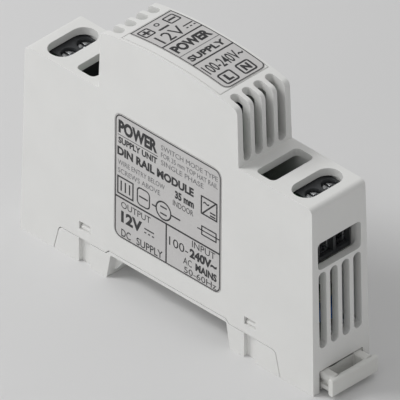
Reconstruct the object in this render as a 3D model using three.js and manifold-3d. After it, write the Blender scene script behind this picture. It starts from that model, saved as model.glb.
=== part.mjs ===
// Single-module power supply for a 35 mm top-hat rail.
// Millimetres. +X runs along the module towards the sprung rail clip and the mains input,
// -Y is the side that carries the rating label, +Z points away from the rail.
// The origin is the middle of the rail seat, the plane that the rail's front face touches.

import * as THREE from "three";
import { mergeVertices } from "three/addons/utils/BufferGeometryUtils.js";
import Module from "manifold-3d";

// ---------------------------------------------------------------- driving dimensions

const moduleLength = 91;          // housing, end face to end face at the bottom
const moduleWidth = 17.5;         // one module
const moduleHeight = 66.8;        // feet to the top of the arch
const shoulderHeight = 49.4;      // feet to the terminal shoulders
const riserHalfLength = 21.8;     // middle to the foot of each riser
const archRadius = 100;
const endDraft = Math.tan(THREE.MathUtils.degToRad(1));
const sideDraft = Math.tan(THREE.MathUtils.degToRad(0.5));
const riserDraft = Math.tan(THREE.MathUtils.degToRad(2));

const sideWall = 1.6;
const endWall = 2;
const shoulderWall = 2;
const riserWall = 2.4;
const archWall = 2.1;
const shoulderFillet = 1.5;
const archFillet = 1.75;

const railSeatHeight = 6.45;      // feet to the plane that rests on the rail
const railWidth = 35;
const railPlay = 0.9;             // recess length beyond the rail's width
const railRecessShift = 0.35;     // recess middle, towards the clip
const railLipTop = 5.15;          // top of the hook lip and of the latch nose
const hookReach = 1.45;           // fixed hook under the rail
const seatRelief = 0.3;           // the seat is relieved above the hook and the clip nose
const footFaceSlope = 1.2;        // the recess opens by this much on each side at the bottom

const fitGap = 0.15;              // moulded covers to each other
const slideGap = 0.2;             // sliding pieces to their guides
const boardGap = 0.3;             // board to its supports

const slotCount = 4;              // ventilation slots side by side
const slotPitch = 3.6;
const slotWidth = 2.4;
const endSlotBottom = 11.4;
const slotToEntry = 0.85;         // slot tops to the wire entry above them
const slotToShoulder = 0.7;       // riser slots to the shoulder below them
const slotToPlate = 1.4;          // riser slots to the front plate's joint lines

const wireEntryWidth = 13.4;
const wireEntryBottom = 32.35;
const wireEntryTop = 39.45;
const wireEntryRadius = 1.1;

const screwHoleFromEnd = 7.55;    // end face to the middle of the screwdriver opening
const screwHoleLength = 6.5;
const screwHoleWidth = 13.3;
const windowFromEnd = 17.55;      // end face to the middle of the inspection window
const windowLength = 5.65;
const windowWidth = 13;
const windowRadius = 1.3;

const footHalfBottom = 35.2;      // outer ends of the feet at the bottom
const footHalfTop = 33.6;
const footCornerRadius = 1.2;
const seatStepHalf = 19.2;        // the housing's lower edge steps up inside this
const seatStepRise = 1;
const seatStepRun = 1;

const snapSpacing = 51.3;         // between the two snap windows of one side
const snapWidth = 3.5;
const snapBottom = 8.8;
const snapTop = 10.85;
const snapChannelDepth = 1.05;

const clipDoorWidth = 13.6;       // opening in the input end for the clip
const clipDoorTop = 5.65;
const clipBodyWidth = 12.3;
const clipBottom = 0.95;
const clipTop = 5.4;
const clipArmInner = 3.9;
const clipHoleDepth = 2.85;       // housing face to the back of the pull plate
const clipPlateThickness = 1.5;
const clipPlateWidth = 14.1;
const clipNoseX = 15.3;
const clipWeb = 1.5;
const clipSideWall = 1.6;
const clipGrooveDepth = 0.65;
const clipGrooveHeight = 1.4;
const clipGrooveMiddle = 3;

const springDiameter = 3.4;
const springWire = 0.5;
const springCoils = 7;
const springStart = 24;
const springLength = 12;
const springHeight = 3.45;
const postThickness = 2;

const baseWallTop = 12.5;
const baseWall = 1.3;
const baseFloor = 2;

const plateHalfLength = 15.4;     // joint lines of the front plate
const plateThickness = 1.2;
const plateLip = 0.6;             // housing side wall left beside the front plate
const plateLegWidth = 2.6;
const plateLegThickness = 1.2;
const plateLegDrop = 3;
const plateLegX = 11.5;
const plateLegY = 4.6;

const labelThickness = 0.2;
const labelRecess = 0.25;
const labelMargin = 0.15;
const frontLabelLeft = 0.4;       // label to the plate's joint line at the output end
const frontLabelRight = 0.5;
const frontLabelNear = 3;         // label to the near side of the module
const frontLabelFar = 0.7;
const frontLabelRadius = 1.6;
const sideLabelSize = 33;
const sideLabelBottom = 12.75;
const sideLabelRadius = 2;

const boardThickness = 1.6;
const boardTopGap = 0.7;          // board to the shoulder above it
const boardSideGap = 1;           // raised part of the board to the riser walls
const boardArchGap = 1.6;         // board to the arch above it
const farWallGap = 0.75;          // tallest board parts to the far side wall

const polePitch = 5;
const poleCount = 2;
const blockFrontRecess = 3;       // housing end face to the front of a terminal block
const blockDepth = 8.6;
const blockSkirt = 1.4;           // terminal block below its wire mouths
const mouthSill = 0.35;           // wire mouths above the housing's opening
const mouthHeight = 5.2;
const mouthWidth = 4.2;
const cageWall = 0.7;
const cageGap = 0.12;
const cageHeight = 8.3;
const cageDepth = 5.2;
const cageNut = 1.7;              // threaded top bar of a cage
const tagThickness = 0.8;
const tagStep = 1.6;              // each tag's pin stands this much further back than the last
const screwShank = 2.4;
const screwHead = 3.5;
const screwHeadHeight = 1.7;
const screwRecess = 0.7;          // block top to the screw head
const driverSlot = 0.6;
const cageTravel = 3;

const leadRadius = 0.35;
const leadHole = 0.6;
const leadWallGap = 0.52;         // trimmed leads to the near side wall
const standOff = 0.2;             // parts above the board

const bulkLength = 20;
const bulkDrop = 6;               // board top to the bulk capacitor's axis

const coreLength = 14;            // transformer core, both halves
const coreHeight = 16;
const coreStack = 4.4;
const coreLeg = 2;
const coreZ = 27;
const windingHalfY = 4.4;
const windingHalfZ = 5.3;

const sinkX = 15;                 // middle to each heat sink
const sinkThickness = 1.2;
const sinkHeight = 18;
const packageThickness = 4.4;
const packageWidth = 10;
const packageLeadPitch = 2.54;
const packageZ = 28;
const sinkScrewRadius = 1.4;
const sinkScrewHead = 4.8;

// ---------------------------------------------------------------- making solids

const wasm = await Module();
wasm.setup();

const root = new THREE.Group();
root.position.z = -railSeatHeight;

function solidOf(geometry) {
  const bare = geometry.clone();
  bare.deleteAttribute("normal");
  bare.deleteAttribute("uv");
  const merged = mergeVertices(bare, 1e-4);
  return new wasm.Manifold(new wasm.Mesh({
    numProp: 3,
    vertProperties: new Float32Array(merged.attributes.position.array),
    triVerts: new Uint32Array(merged.index.array),
  }));
}

function geometryOf(solid) {
  const mesh = solid.getMesh();
  const geometry = new THREE.BufferGeometry();
  geometry.setAttribute("position", new THREE.BufferAttribute(mesh.vertProperties, 3));
  geometry.setIndex(new THREE.BufferAttribute(mesh.triVerts, 1));
  geometry.computeVertexNormals();
  return geometry;
}

function addPart(name, solid, material) {
  const mesh = new THREE.Mesh(geometryOf(solid), material.clone());
  mesh.name = name;
  root.add(mesh);
}

function join(...solids) {
  return solids.reduce((whole, next) => whole.add(next));
}

function cut(body, ...tools) {
  return tools.reduce((left, tool) => left.subtract(tool), body);
}

// A box between two limits along each axis.
function block([x0, x1], [y0, y1], [z0, z1]) {
  const geometry = new THREE.BoxGeometry(x1 - x0, y1 - y0, z1 - z0);
  geometry.translate((x0 + x1) / 2, (y0 + y1) / 2, (z0 + z1) / 2);
  return solidOf(geometry);
}

function extrude(outline, from, to, basis) {
  const shape = new THREE.Shape(outline);
  const geometry = new THREE.ExtrudeGeometry(shape, { depth: to - from, bevelEnabled: false });
  geometry.translate(0, 0, from);
  geometry.applyMatrix4(basis);
  return solidOf(geometry);
}

const X = new THREE.Vector3(1, 0, 0);
const Y = new THREE.Vector3(0, 1, 0);
const Z = new THREE.Vector3(0, 0, 1);
const alongX = new THREE.Matrix4().makeBasis(Y, Z, X);
const alongY = new THREE.Matrix4().makeBasis(X, Z, Y.clone().negate());
const alongZ = new THREE.Matrix4();

// Outlines in the X-Z plane, the Y-Z plane and the X-Y plane, made thick along the third axis.
const prismY = (outline, y0, y1) => extrude(outline, -y1, -y0, alongY);
const prismX = (outline, x0, x1) => extrude(outline, x0, x1, alongX);
const prismZ = (outline, z0, z1) => extrude(outline, z0, z1, alongZ);

// A closed outline from corners [a, b, radius]; a corner with a radius becomes an arc.
function rounded(corners, steps = 4) {
  const points = [];
  corners.forEach(([a, b, radius = 0], i) => {
    const here = new THREE.Vector2(a, b);
    if (radius === 0) {
      points.push(here);
      return;
    }
    const [pa, pb] = corners[(i + corners.length - 1) % corners.length];
    const [na, nb] = corners[(i + 1) % corners.length];
    const back = new THREE.Vector2(pa, pb).sub(here).normalize();
    const ahead = new THREE.Vector2(na, nb).sub(here).normalize();
    const half = Math.acos(back.dot(ahead)) / 2;
    const centre = back.clone().add(ahead).normalize().multiplyScalar(radius / Math.sin(half)).add(here);
    const start = back.clone().multiplyScalar(radius / Math.tan(half)).add(here).sub(centre);
    const end = ahead.clone().multiplyScalar(radius / Math.tan(half)).add(here).sub(centre);
    const turn = Math.atan2(start.cross(end), start.dot(end));
    for (let k = 0; k <= steps; k += 1) {
      points.push(start.clone().rotateAround(new THREE.Vector2(), (turn * k) / steps).add(centre));
    }
  });
  return points;
}

function roundedBox(a0, a1, b0, b1, radius, steps = 4) {
  return rounded([[a0, b0, radius], [a1, b0, radius], [a1, b1, radius], [a0, b1, radius]], steps);
}

// A box whose four edges along Y are rounded.
function softBlock([x0, x1], [y0, y1], [z0, z1], radius) {
  return prismY(roundedBox(x0, x1, z0, z1, radius, 2), y0, y1);
}

// A cylinder from one end to the other along an axis, "x", "y" or "z".
function rod(axis, [a, b], radius, from, to, sides = 16) {
  const geometry = new THREE.CylinderGeometry(radius, radius, to - from, sides);
  geometry.rotateY(Math.PI / sides);
  const middle = (from + to) / 2;
  if (axis === "x") {
    geometry.rotateZ(-Math.PI / 2);
    geometry.translate(middle, a, b);
  } else if (axis === "y") {
    geometry.translate(a, middle, b);
  } else {
    geometry.rotateX(Math.PI / 2);
    geometry.translate(a, b, middle);
  }
  return solidOf(geometry);
}

// The moulding draft: both sides lean inwards with height.
function drafted(solid) {
  const mesh = solid.getMesh();
  const points = mesh.vertProperties.slice();
  for (let i = 0; i < points.length; i += 3) {
    points[i + 1] *= 1 - (points[i + 2] * sideDraft) / (moduleWidth / 2);
  }
  return new wasm.Manifold(new wasm.Mesh({ numProp: 3, vertProperties: points, triVerts: mesh.triVerts }));
}

function finish(color, roughness, metalness = 0) {
  return new THREE.MeshStandardMaterial({ color, roughness, metalness });
}

const materials = {
  housing: finish(0xf0f0ed, 0.6),
  clip: finish(0xe9e9e5, 0.55),
  label: finish(0xe0dedb, 0.5),
  block: finish(0x2b2d30, 0.5),
  plated: finish(0xc9ccd0, 0.3, 1),
  tinned: finish(0xb9bcc0, 0.35, 1),
  spring: finish(0x9da0a4, 0.3, 1),
  board: finish(0x2f6b3c, 0.55),
  ferrite: finish(0x3a3b3d, 0.8),
  bobbin: finish(0x1f2022, 0.6),
  copper: finish(0xa9582c, 0.4, 0.6),
  tape: finish(0xd8b23a, 0.5),
  sleeve: finish(0x23252b, 0.35),
  film: finish(0xd9c24a, 0.5),
  ceramic: finish(0x2f6fae, 0.5),
  glass: finish(0xcfd4d2, 0.2),
  resin: finish(0x222325, 0.6),
  aluminium: finish(0xb8bbbe, 0.45, 1),
};

// ---------------------------------------------------------------- shared outlines

const halfLength = moduleLength / 2;
const halfWidth = moduleWidth / 2;
const innerHalfWidth = halfWidth - sideWall;
const recessHalf = (railWidth + railPlay) / 2;
const recessLeft = railRecessShift - recessHalf;
const recessRight = railRecessShift + recessHalf;
const endSlotTop = wireEntryBottom - slotToEntry;
const riserSlotBottom = shoulderHeight + slotToShoulder;
const riserSlotReach = plateHalfLength + slotToPlate;
const halfWidthAt = (z) => halfWidth - z * sideDraft;
const endFaceAt = (z) => halfLength - z * endDraft;
const riserAt = (z) => riserHalfLength - (z - shoulderHeight) * riserDraft;
const archAt = (x, below = 0) => {
  const radius = archRadius - below;
  return moduleHeight - archRadius + Math.sqrt(radius * radius - x * x);
};

function mirrored(rightSide) {
  const leftSide = rightSide.map(([x, z, radius]) => [-x, z, radius]).reverse();
  return [...rightSide, ...leftSide];
}

// The stepped side view of the housing, or of its hollow when walls are given.
function housingOutline(bottom, end, shoulder, riser, arch, radius) {
  const shoulderZ = shoulderHeight - shoulder;
  const nearTop = archAt(riserHalfLength, arch);
  const archSteps = [0.8, 0.6, 0.4, 0.2].map((share) => share * riserHalfLength);
  return rounded(mirrored([
    [endFaceAt(bottom) - end, bottom],
    [endFaceAt(shoulderZ) - end, shoulderZ, Math.max(shoulderFillet - end, 0)],
    [riserAt(shoulderZ) - riser, shoulderZ],
    [riserAt(nearTop) - riser, archAt(riserAt(nearTop) - riser, arch), radius],
    ...archSteps.map((x) => [x, archAt(x, arch)]),
  ]));
}

// The cut-out in the lower edge of each side wall; the base fills it from inside.
function footOutline(gap, bottom) {
  const slope = (footHalfBottom - footHalfTop) / railSeatHeight;
  const low = railSeatHeight - gap;
  const high = railSeatHeight + seatStepRise - gap;
  return rounded(mirrored([
    [footHalfBottom - gap - bottom * slope, bottom],
    [footHalfTop - gap, low, footCornerRadius],
    [seatStepHalf - gap, low, 0.4],
    [seatStepHalf - gap - seatStepRun, high, 0.4],
  ]));
}

const across = [-moduleWidth, moduleWidth];
const ends = [{ name: "output", sign: -1 }, { name: "input", sign: 1 }];
const spread = (count, pitch) => Array.from({ length: count }, (_, i) => (i - (count - 1) / 2) * pitch);
const span = (a, b) => [Math.min(a, b), Math.max(a, b)];

// ---------------------------------------------------------------- housing

function ventSlots(sign) {
  const r = slotWidth / 2;
  const slots = [];
  for (const y of spread(slotCount, slotPitch)) {
    const low = roundedBox(y - r, y + r, endSlotBottom, endSlotTop, r * 0.999);
    slots.push(prismX(low, ...span(sign * (halfLength - endWall - 3), sign * (halfLength + 2))));
    const tall = rounded([
      [y - r, riserSlotBottom, r * 0.999],
      [y + r, riserSlotBottom, r * 0.999],
      [y + r, moduleHeight + 2],
      [y - r, moduleHeight + 2],
    ]);
    slots.push(prismX(tall, ...span(sign * (riserSlotReach + r), sign * (riserHalfLength + 2))));
    const [x0, x1] = span(sign * riserSlotReach, sign * (riserHalfLength + 2));
    const wide = roundedBox(x0, x1, y - r, y + r, r * 0.999);
    slots.push(prismZ(wide, archAt(riserHalfLength, archWall + 2), moduleHeight + 2));
  }
  return slots;
}

function terminalOpenings(sign) {
  const entry = roundedBox(-wireEntryWidth / 2, wireEntryWidth / 2, wireEntryBottom, wireEntryTop,
    wireEntryRadius);
  const holeX = sign * (halfLength - screwHoleFromEnd);
  const windowX = sign * (halfLength - windowFromEnd);
  const oval = roundedBox(holeX - screwHoleLength / 2, holeX + screwHoleLength / 2,
    -screwHoleWidth / 2, screwHoleWidth / 2, screwHoleLength * 0.499, 6);
  const view = roundedBox(windowX - windowLength / 2, windowX + windowLength / 2,
    -windowWidth / 2, windowWidth / 2, windowRadius);
  const under = shoulderHeight - shoulderWall - 1;
  return [
    prismX(entry, ...span(sign * (halfLength - endWall - 3), sign * (halfLength + 2))),
    prismZ(oval, under, shoulderHeight + 2),
    prismZ(view, under, shoulderHeight + 2),
  ];
}

// The rebate that the front plate snaps into, and the four holes for its legs.
function plateRebate() {
  const top = moduleHeight + 3;
  const rebate = prismY(archBand(plateHalfLength, plateThickness, top), -halfWidthAt(moduleHeight) + plateLip,
    halfWidthAt(moduleHeight) - plateLip);
  const tools = [rebate];
  for (const x of [-plateLegX, plateLegX]) {
    for (const y of [-plateLegY, plateLegY]) {
      const reachX = plateLegWidth / 2 + slideGap;
      const reachY = plateLegThickness / 2 + slideGap;
      tools.push(block([x - reachX, x + reachX], [y - reachY - 0.5, y + reachY + 0.5],
        [archAt(0, archWall) - plateLegDrop, top]));
    }
  }
  return tools;
}

// A band under the arch between a depth below it and a flat top or another depth.
function archBand(reach, below, top, above = null) {
  const steps = spread(13, reach / 6);
  const lower = steps.map((x) => new THREE.Vector2(x, archAt(x, below)));
  if (above === null) {
    return [...lower, new THREE.Vector2(reach, top), new THREE.Vector2(-reach, top)];
  }
  const upper = steps.map((x) => new THREE.Vector2(x, archAt(x, above))).reverse();
  return [...lower, ...upper];
}

function labelPocket() {
  const edge = sideLabelSize / 2 + labelMargin;
  const outline = roundedBox(-edge, edge, sideLabelBottom - labelMargin,
    sideLabelBottom + sideLabelSize + labelMargin, sideLabelRadius + labelMargin);
  return drafted(prismY(outline, -halfWidth - 1, -halfWidth + labelRecess));
}

function snapWindow(x) {
  return block([x - snapWidth / 2, x + snapWidth / 2], across, [snapBottom, snapTop]);
}

function makeHousing() {
  const shell = prismY(housingOutline(0, 0, 0, 0, 0, archFillet), -halfWidth, halfWidth);
  const hollow = prismY(housingOutline(-2, endWall, shoulderWall, riserWall, archWall, 0.4),
    -innerHalfWidth, innerHalfWidth);
  const door = roundedBox(-clipDoorWidth / 2, clipDoorWidth / 2, -clipDoorTop, clipDoorTop, 0.4, 2);
  return cut(
    drafted(shell),
    drafted(hollow),
    prismY(footOutline(0, -2), ...across),
    prismX(door, halfLength - endWall - 3, halfLength + 2),
    snapWindow(-snapSpacing / 2),
    snapWindow(snapSpacing / 2),
    labelPocket(),
    ...plateRebate(),
    ...ends.flatMap(({ sign }) => [...ventSlots(sign), ...terminalOpenings(sign)]),
  );
}

addPart("housing_hood", makeHousing(), materials.housing);

// ---------------------------------------------------------------- front plate and labels

function frontLabelOutline(margin) {
  const start = -plateHalfLength + frontLabelLeft - margin;
  const end = plateHalfLength - frontLabelRight + margin;
  const near = -halfWidthAt(moduleHeight) + frontLabelNear - margin;
  const far = halfWidthAt(moduleHeight) - frontLabelFar + margin;
  const corner = frontLabelRadius + margin;
  return rounded([[start, near, 0.3], [end, near, corner], [end, far, corner], [start, far, 0.3]]);
}

// A leg with an outward barb that hooks under the housing's arch.
function plateLeg(x, side) {
  const y = side * plateLegY;
  const half = plateLegThickness / 2;
  const barbTop = archAt(plateLegX + plateLegWidth / 2, archWall) - slideGap;
  const bottom = archAt(plateLegX, plateThickness) - plateLegDrop;
  const outline = [
    [y - side * half, barbTop + 2.5],
    [y - side * half, bottom],
    [y + side * half, bottom],
    [y + side * (half + 0.55), barbTop - 0.5],
    [y + side * (half + 0.55), barbTop],
    [y + side * half, barbTop],
    [y + side * half, barbTop + 2.5],
  ].map(([a, b]) => new THREE.Vector2(a, b));
  return prismX(outline, x - plateLegWidth / 2, x + plateLegWidth / 2);
}

function makeFrontPlate() {
  const halfPlateWidth = halfWidthAt(moduleHeight) - plateLip - fitGap;
  const plate = prismY(archBand(plateHalfLength - fitGap, plateThickness - fitGap, 0, 0),
    -halfPlateWidth, halfPlateWidth);
  const legs = [-plateLegX, plateLegX].flatMap((x) => [-1, 1].map((side) => plateLeg(x, side)));
  const bed = prismY(archBand(plateHalfLength + 1, labelRecess, moduleHeight + 3), ...across);
  const pocket = prismZ(frontLabelOutline(labelMargin), archAt(plateHalfLength, 2), moduleHeight + 3);
  return cut(join(plate, ...legs), bed.intersect(pocket));
}

function makeFrontLabel() {
  const sheet = prismY(archBand(plateHalfLength + 1, labelThickness, 0, 0), ...across);
  return sheet.intersect(prismZ(frontLabelOutline(0), archAt(plateHalfLength, 2), moduleHeight + 3));
}

function makeSideLabel() {
  const half = sideLabelSize / 2;
  const outline = roundedBox(-half, half, sideLabelBottom, sideLabelBottom + sideLabelSize, sideLabelRadius);
  return drafted(prismY(outline, -halfWidth, -halfWidth + labelThickness));
}

addPart("front_plate", makeFrontPlate(), materials.housing);
addPart("front_label", makeFrontLabel(), materials.label);
addPart("rating_label", makeSideLabel(), materials.label);

// ---------------------------------------------------------------- base

const boardFace = innerHalfWidth - farWallGap - poleCount * polePitch - fitGap;
const baseHalfWidth = innerHalfWidth - slideGap;
const baseEnd = halfLength - endWall - boardGap - slideGap;
const clipHalf = clipBodyWidth / 2;
const channelHalf = clipHalf + slideGap;
const channelTop = clipTop + 0.35;
const postStart = springStart + springLength + slideGap;

// The outer skin that is seen in the housing's cut-out: two feet and the seat between them.
function baseSkin() {
  const recess = rounded([
    [recessLeft - footFaceSlope, 0],
    [recessLeft - footFaceSlope - 1, -2],
    [recessRight + footFaceSlope + 1, -2],
    [recessRight + footFaceSlope, 0],
    [recessRight, railSeatHeight, 0.3],
    [recessLeft, railSeatHeight, 0.3],
  ]);
  return cut(prismY(footOutline(fitGap, 0), -halfWidth, halfWidth), prismY(recess, ...across));
}

// The fixed hook that the rail's far edge slides under.
function railHook() {
  const outline = rounded([
    [recessLeft - footFaceSlope, railLipTop],
    [recessLeft - footFaceSlope, 0.9],
    [recessLeft - 0.3, 1.6, 0.6],
    [recessLeft + hookReach, 4, 0.6],
    [recessLeft + hookReach, railLipTop, 0.3],
  ]);
  return prismY(outline, -channelHalf, channelHalf);
}

function snapBump(x, side) {
  const low = snapBottom + fitGap;
  const high = snapTop - fitGap;
  const outline = [
    [side * (baseHalfWidth - 0.6), low],
    [side * (halfWidth - 0.55), low],
    [side * (halfWidth - 0.55), low + 0.5],
    [side * (baseHalfWidth + 0.1), high],
    [side * (baseHalfWidth - 0.6), high],
  ].map(([y, z]) => new THREE.Vector2(y, z));
  return prismX(outline, x - snapWidth / 2 + slideGap, x + snapWidth / 2 - slideGap);
}

function makeBase() {
  const floorTop = railSeatHeight + baseFloor;
  const inside = [-baseHalfWidth, baseHalfWidth];
  const tray = block([-baseEnd, baseEnd], inside, [railSeatHeight, baseWallTop]);
  const outputFoot = block([-baseEnd, recessLeft - 2.5], inside, [0.4, floorTop]);
  const inputFoot = block([recessRight + 1.5, footHalfTop - 1], inside, [0.4, floorTop]);
  const clipRoof = block([recessRight + 1.5, baseEnd], inside, [channelTop, floorTop]);
  const trayHollow = block([-baseEnd + baseWall, baseEnd - baseWall],
    [-baseHalfWidth + baseWall, baseHalfWidth - baseWall], [floorTop, baseWallTop + 2]);
  const boardRelief = block([-baseEnd + baseWall, baseEnd - baseWall],
    [boardFace - boardThickness - slideGap, 0], [floorTop, baseWallTop + 2]);
  const footHollow = block([-baseEnd + baseWall, recessLeft - 4.5],
    [-baseHalfWidth + baseWall, baseHalfWidth - baseWall], [2, floorTop + 1]);
  const clipChannel = block([recessRight - 2, halfLength], [-channelHalf, channelHalf], [-2, channelTop]);
  const reliefs = [[recessLeft, recessLeft + hookReach + seatRelief], [clipNoseX - seatRelief, recessRight]]
    .map((length) => block(length, [-channelHalf - seatRelief, channelHalf + seatRelief],
      [railSeatHeight - 1, railSeatHeight + seatRelief]));
  const snapChannels = [-1, 1].flatMap((side) => [-1, 1].map((end) => block(
    [end * snapSpacing / 2 - snapWidth / 2, end * snapSpacing / 2 + snapWidth / 2],
    span(side * (halfWidth - snapChannelDepth), side * moduleWidth),
    [-2, railSeatHeight],
  )));
  const bumps = [-1, 1].flatMap((side) => [-1, 1].map((end) => snapBump(end * snapSpacing / 2, side)));
  const guides = [-1, 1].map((side) => block(
    [recessRight + 2, footHalfTop - 2],
    span(side * (clipHalf - clipGrooveDepth + slideGap), side * (channelHalf + 0.3)),
    [clipGrooveMiddle - clipGrooveHeight / 2 + slideGap, clipGrooveMiddle + clipGrooveHeight / 2 - slideGap],
  ));
  const springPost = block([postStart, postStart + postThickness], [-1.8, 1.8], [1.7, channelTop + 0.5]);
  const boardRests = [-18, 6, 30].map((x) => block([x - 2, x + 2],
    [boardFace + boardGap, boardFace + boardGap + 1], [floorTop - 0.5, baseWallTop - 1.5]));
  const body = cut(join(baseSkin(), tray, outputFoot, inputFoot, clipRoof), trayHollow, boardRelief,
    footHollow, clipChannel, ...reliefs, ...snapChannels);
  return join(drafted(body), railHook(), ...bumps, ...guides, springPost, ...boardRests);
}

addPart("base", makeBase(), materials.housing);

// ---------------------------------------------------------------- rail clip and its spring

function makeClip() {
  const faceX = halfLength;
  const plateX = faceX + clipHoleDepth;
  const nose = rounded([
    [recessRight + 3, clipBottom],
    [recessRight + 3, railLipTop],
    [clipNoseX, railLipTop, 0.3],
    [clipNoseX, 4, 0.6],
    [clipNoseX + 2, 1.3, 0.6],
    [recessRight + 1, clipBottom],
  ]);
  const body = block([recessRight + 2, faceX - 0.1], [-clipHalf, clipHalf], [clipBottom, clipTop]);
  const arms = [-1, 1].map((side) => prismX(
    roundedBox(...span(side * clipArmInner, side * clipHalf), clipBottom, clipTop, 0.5, 3),
    faceX - 1, plateX + 0.5,
  ));
  const plate = prismY(roundedBox(plateX, plateX + clipPlateThickness, clipBottom, clipTop, 0.6, 4),
    -clipPlateWidth / 2, clipPlateWidth / 2);
  const underside = block([recessRight + 3, faceX - 2],
    [-clipHalf + clipSideWall, clipHalf - clipSideWall], [-1, clipTop - clipWeb]);
  const slot = block([springStart, postStart + postThickness + slideGap], [-2.2, 2.2], [-1, clipTop + 1]);
  const springWall = block([springStart - 1.6, springStart], [-2.6, 2.6], [1.2, clipTop - clipWeb + 0.5]);
  const grooves = [-1, 1].map((side) => block(
    [recessRight - 4, plateX - 0.8],
    span(side * (clipHalf - clipGrooveDepth), side * (clipHalf + 1)),
    [clipGrooveMiddle - clipGrooveHeight / 2, clipGrooveMiddle + clipGrooveHeight / 2],
  ));
  const whole = join(prismY(nose, -clipHalf, clipHalf), body, ...arms, plate);
  return cut(join(cut(whole, underside), springWall), slot, ...grooves);
}

// A coil spring along X, wound on a helix.
class Helix extends THREE.Curve {
  getPoint(t) {
    const angle = t * springCoils * 2 * Math.PI;
    const radius = (springDiameter - springWire) / 2;
    const room = springLength - springWire - 2 * slideGap;
    return new THREE.Vector3(
      springStart + slideGap + springWire / 2 + t * room,
      radius * Math.cos(angle),
      springHeight + radius * Math.sin(angle),
    );
  }
}

function makeSpring() {
  const section = new THREE.Shape();
  for (let i = 0; i < 6; i += 1) {
    const angle = (i * Math.PI) / 3;
    const x = (springWire / 2) * Math.cos(angle);
    const y = (springWire / 2) * Math.sin(angle);
    if (i === 0) {
      section.moveTo(x, y);
    } else {
      section.lineTo(x, y);
    }
  }
  return solidOf(new THREE.ExtrudeGeometry(section, {
    steps: springCoils * 10,
    bevelEnabled: false,
    extrudePath: new Helix(),
  }));
}

addPart("din_clip", makeClip(), materials.clip);
addPart("clip_spring", makeSpring(), materials.spring);

// ---------------------------------------------------------------- terminals

const blockFar = innerHalfWidth - farWallGap;
const blockNear = blockFar - poleCount * polePitch;
const blockTop = shoulderHeight - shoulderWall - boardGap;
const boardBack = boardFace - boardThickness;
const nearWallAtTop = innerHalfWidth * (1 - (moduleHeight * sideDraft) / halfWidth);
const leadTail = nearWallAtTop + boardBack - leadWallGap;
const leadHoles = [];
const mouthBottom = wireEntryBottom + mouthSill;
const blockBottom = mouthBottom - blockSkirt;
const mouthTop = mouthBottom + mouthHeight;
const tagBottom = mouthTop - tagThickness;
const cageBottom = mouthBottom - cageWall - 0.1;
const poles = spread(poleCount, polePitch).map((offset) => (blockNear + blockFar) / 2 + offset);
const blockFrontX = endFaceAt(mouthBottom) - blockFrontRecess;
const blockBackX = blockFrontX - blockDepth;
const screwX = halfLength - screwHoleFromEnd;

function makeTerminalBlock(sign) {
  let body = softBlock(span(sign * blockBackX, sign * blockFrontX), [blockNear, blockFar],
    [blockBottom, blockTop], 0.5);
  for (const y of poles) {
    const room = cageDepth / 2 + cageGap + 0.1;
    const side = mouthWidth / 2;
    body = cut(
      body,
      block(span(sign * (screwX - room), sign * (blockFrontX + 1)), [y - side, y + side],
        [mouthBottom, mouthTop]),
      block(span(sign * (screwX - room), sign * (screwX + room)), [y - side, y + side],
        [cageBottom - 0.25, cageBottom + cageHeight + cageTravel + 0.3]),
      rod("z", [sign * screwX, y], screwShank / 2 + 0.25, mouthTop, blockTop),
      rod("z", [sign * screwX, y], screwHead / 2 + 0.25,
        blockTop - screwRecess - screwHeadHeight - 0.2, blockTop + 1, 24),
      block(span(sign * (blockBackX - 1), sign * (screwX - room + 0.5)), [y - 1.5, y + 1.5],
        [tagBottom - 0.15, tagBottom + tagThickness + 0.15]),
    );
  }
  return body;
}

function makeScrew(sign, y) {
  const headTop = blockTop - screwRecess;
  const headBottom = headTop - screwHeadHeight;
  const profile = [
    [0, tagBottom + tagThickness + 0.2],
    [screwShank / 2 - 0.3, tagBottom + tagThickness + 0.2],
    [screwShank / 2, tagBottom + tagThickness + 0.5],
    [screwShank / 2, headBottom],
    [screwHead / 2, headBottom],
    [screwHead / 2, headTop - 0.2],
    [screwHead / 2 - 0.2, headTop],
    [0, headTop],
  ].map(([r, z]) => new THREE.Vector2(r, z));
  const turned = new THREE.LatheGeometry(profile, 20);
  turned.rotateX(Math.PI / 2);
  turned.translate(sign * screwX, y, 0);
  const slot = block([sign * screwX - screwHead, sign * screwX + screwHead],
    [y - driverSlot / 2, y + driverSlot / 2], [headTop - 0.8, headTop + 1]);
  return cut(solidOf(turned), slot);
}

// A rising cage: a square loop that the screw pulls up under the contact tag.
function makeCage(sign, y) {
  const side = mouthWidth / 2 - cageGap;
  const x = sign * screwX;
  return cut(
    block([x - cageDepth / 2, x + cageDepth / 2], [y - side, y + side],
      [cageBottom, cageBottom + cageHeight]),
    block([x - cageDepth, x + cageDepth], [y - side + cageWall, y + side - cageWall],
      [cageBottom + cageWall, cageBottom + cageHeight - cageNut]),
    rod("z", [x, y], screwShank / 2 + 0.12, cageBottom + 2, cageBottom + cageHeight + 1),
  );
}

// The fixed tag that the wire is pressed against; it runs back out of the block and into the board.
function makeTag(sign, y, rank) {
  const side = mouthWidth / 2 - cageGap - cageWall - 0.15;
  const back = blockBackX - tagStep * (rank + 1);
  const top = tagBottom + tagThickness;
  leadHoles.push([sign * (back + 0.4), tagBottom + tagThickness / 2, 0.75]);
  return join(
    block(span(sign * back, sign * (screwX + cageDepth / 2)), [y - side, y + side], [tagBottom, top]),
    block(span(sign * back, sign * (back + 0.8)), [boardBack - leadTail, y + side], [tagBottom, top]),
  );
}

for (const { name, sign } of ends) {
  addPart(`${name}_terminal_block`, makeTerminalBlock(sign), materials.block);
  poles.forEach((y, i) => {
    const pole = `${name}_pole_${i + 1}`;
    addPart(`${pole}_screw`, makeScrew(sign, y), materials.plated);
    addPart(`${pole}_cage`, makeCage(sign, y), materials.plated);
    addPart(`${pole}_tag`, makeTag(sign, y, i), materials.tinned);
  });
}

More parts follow.
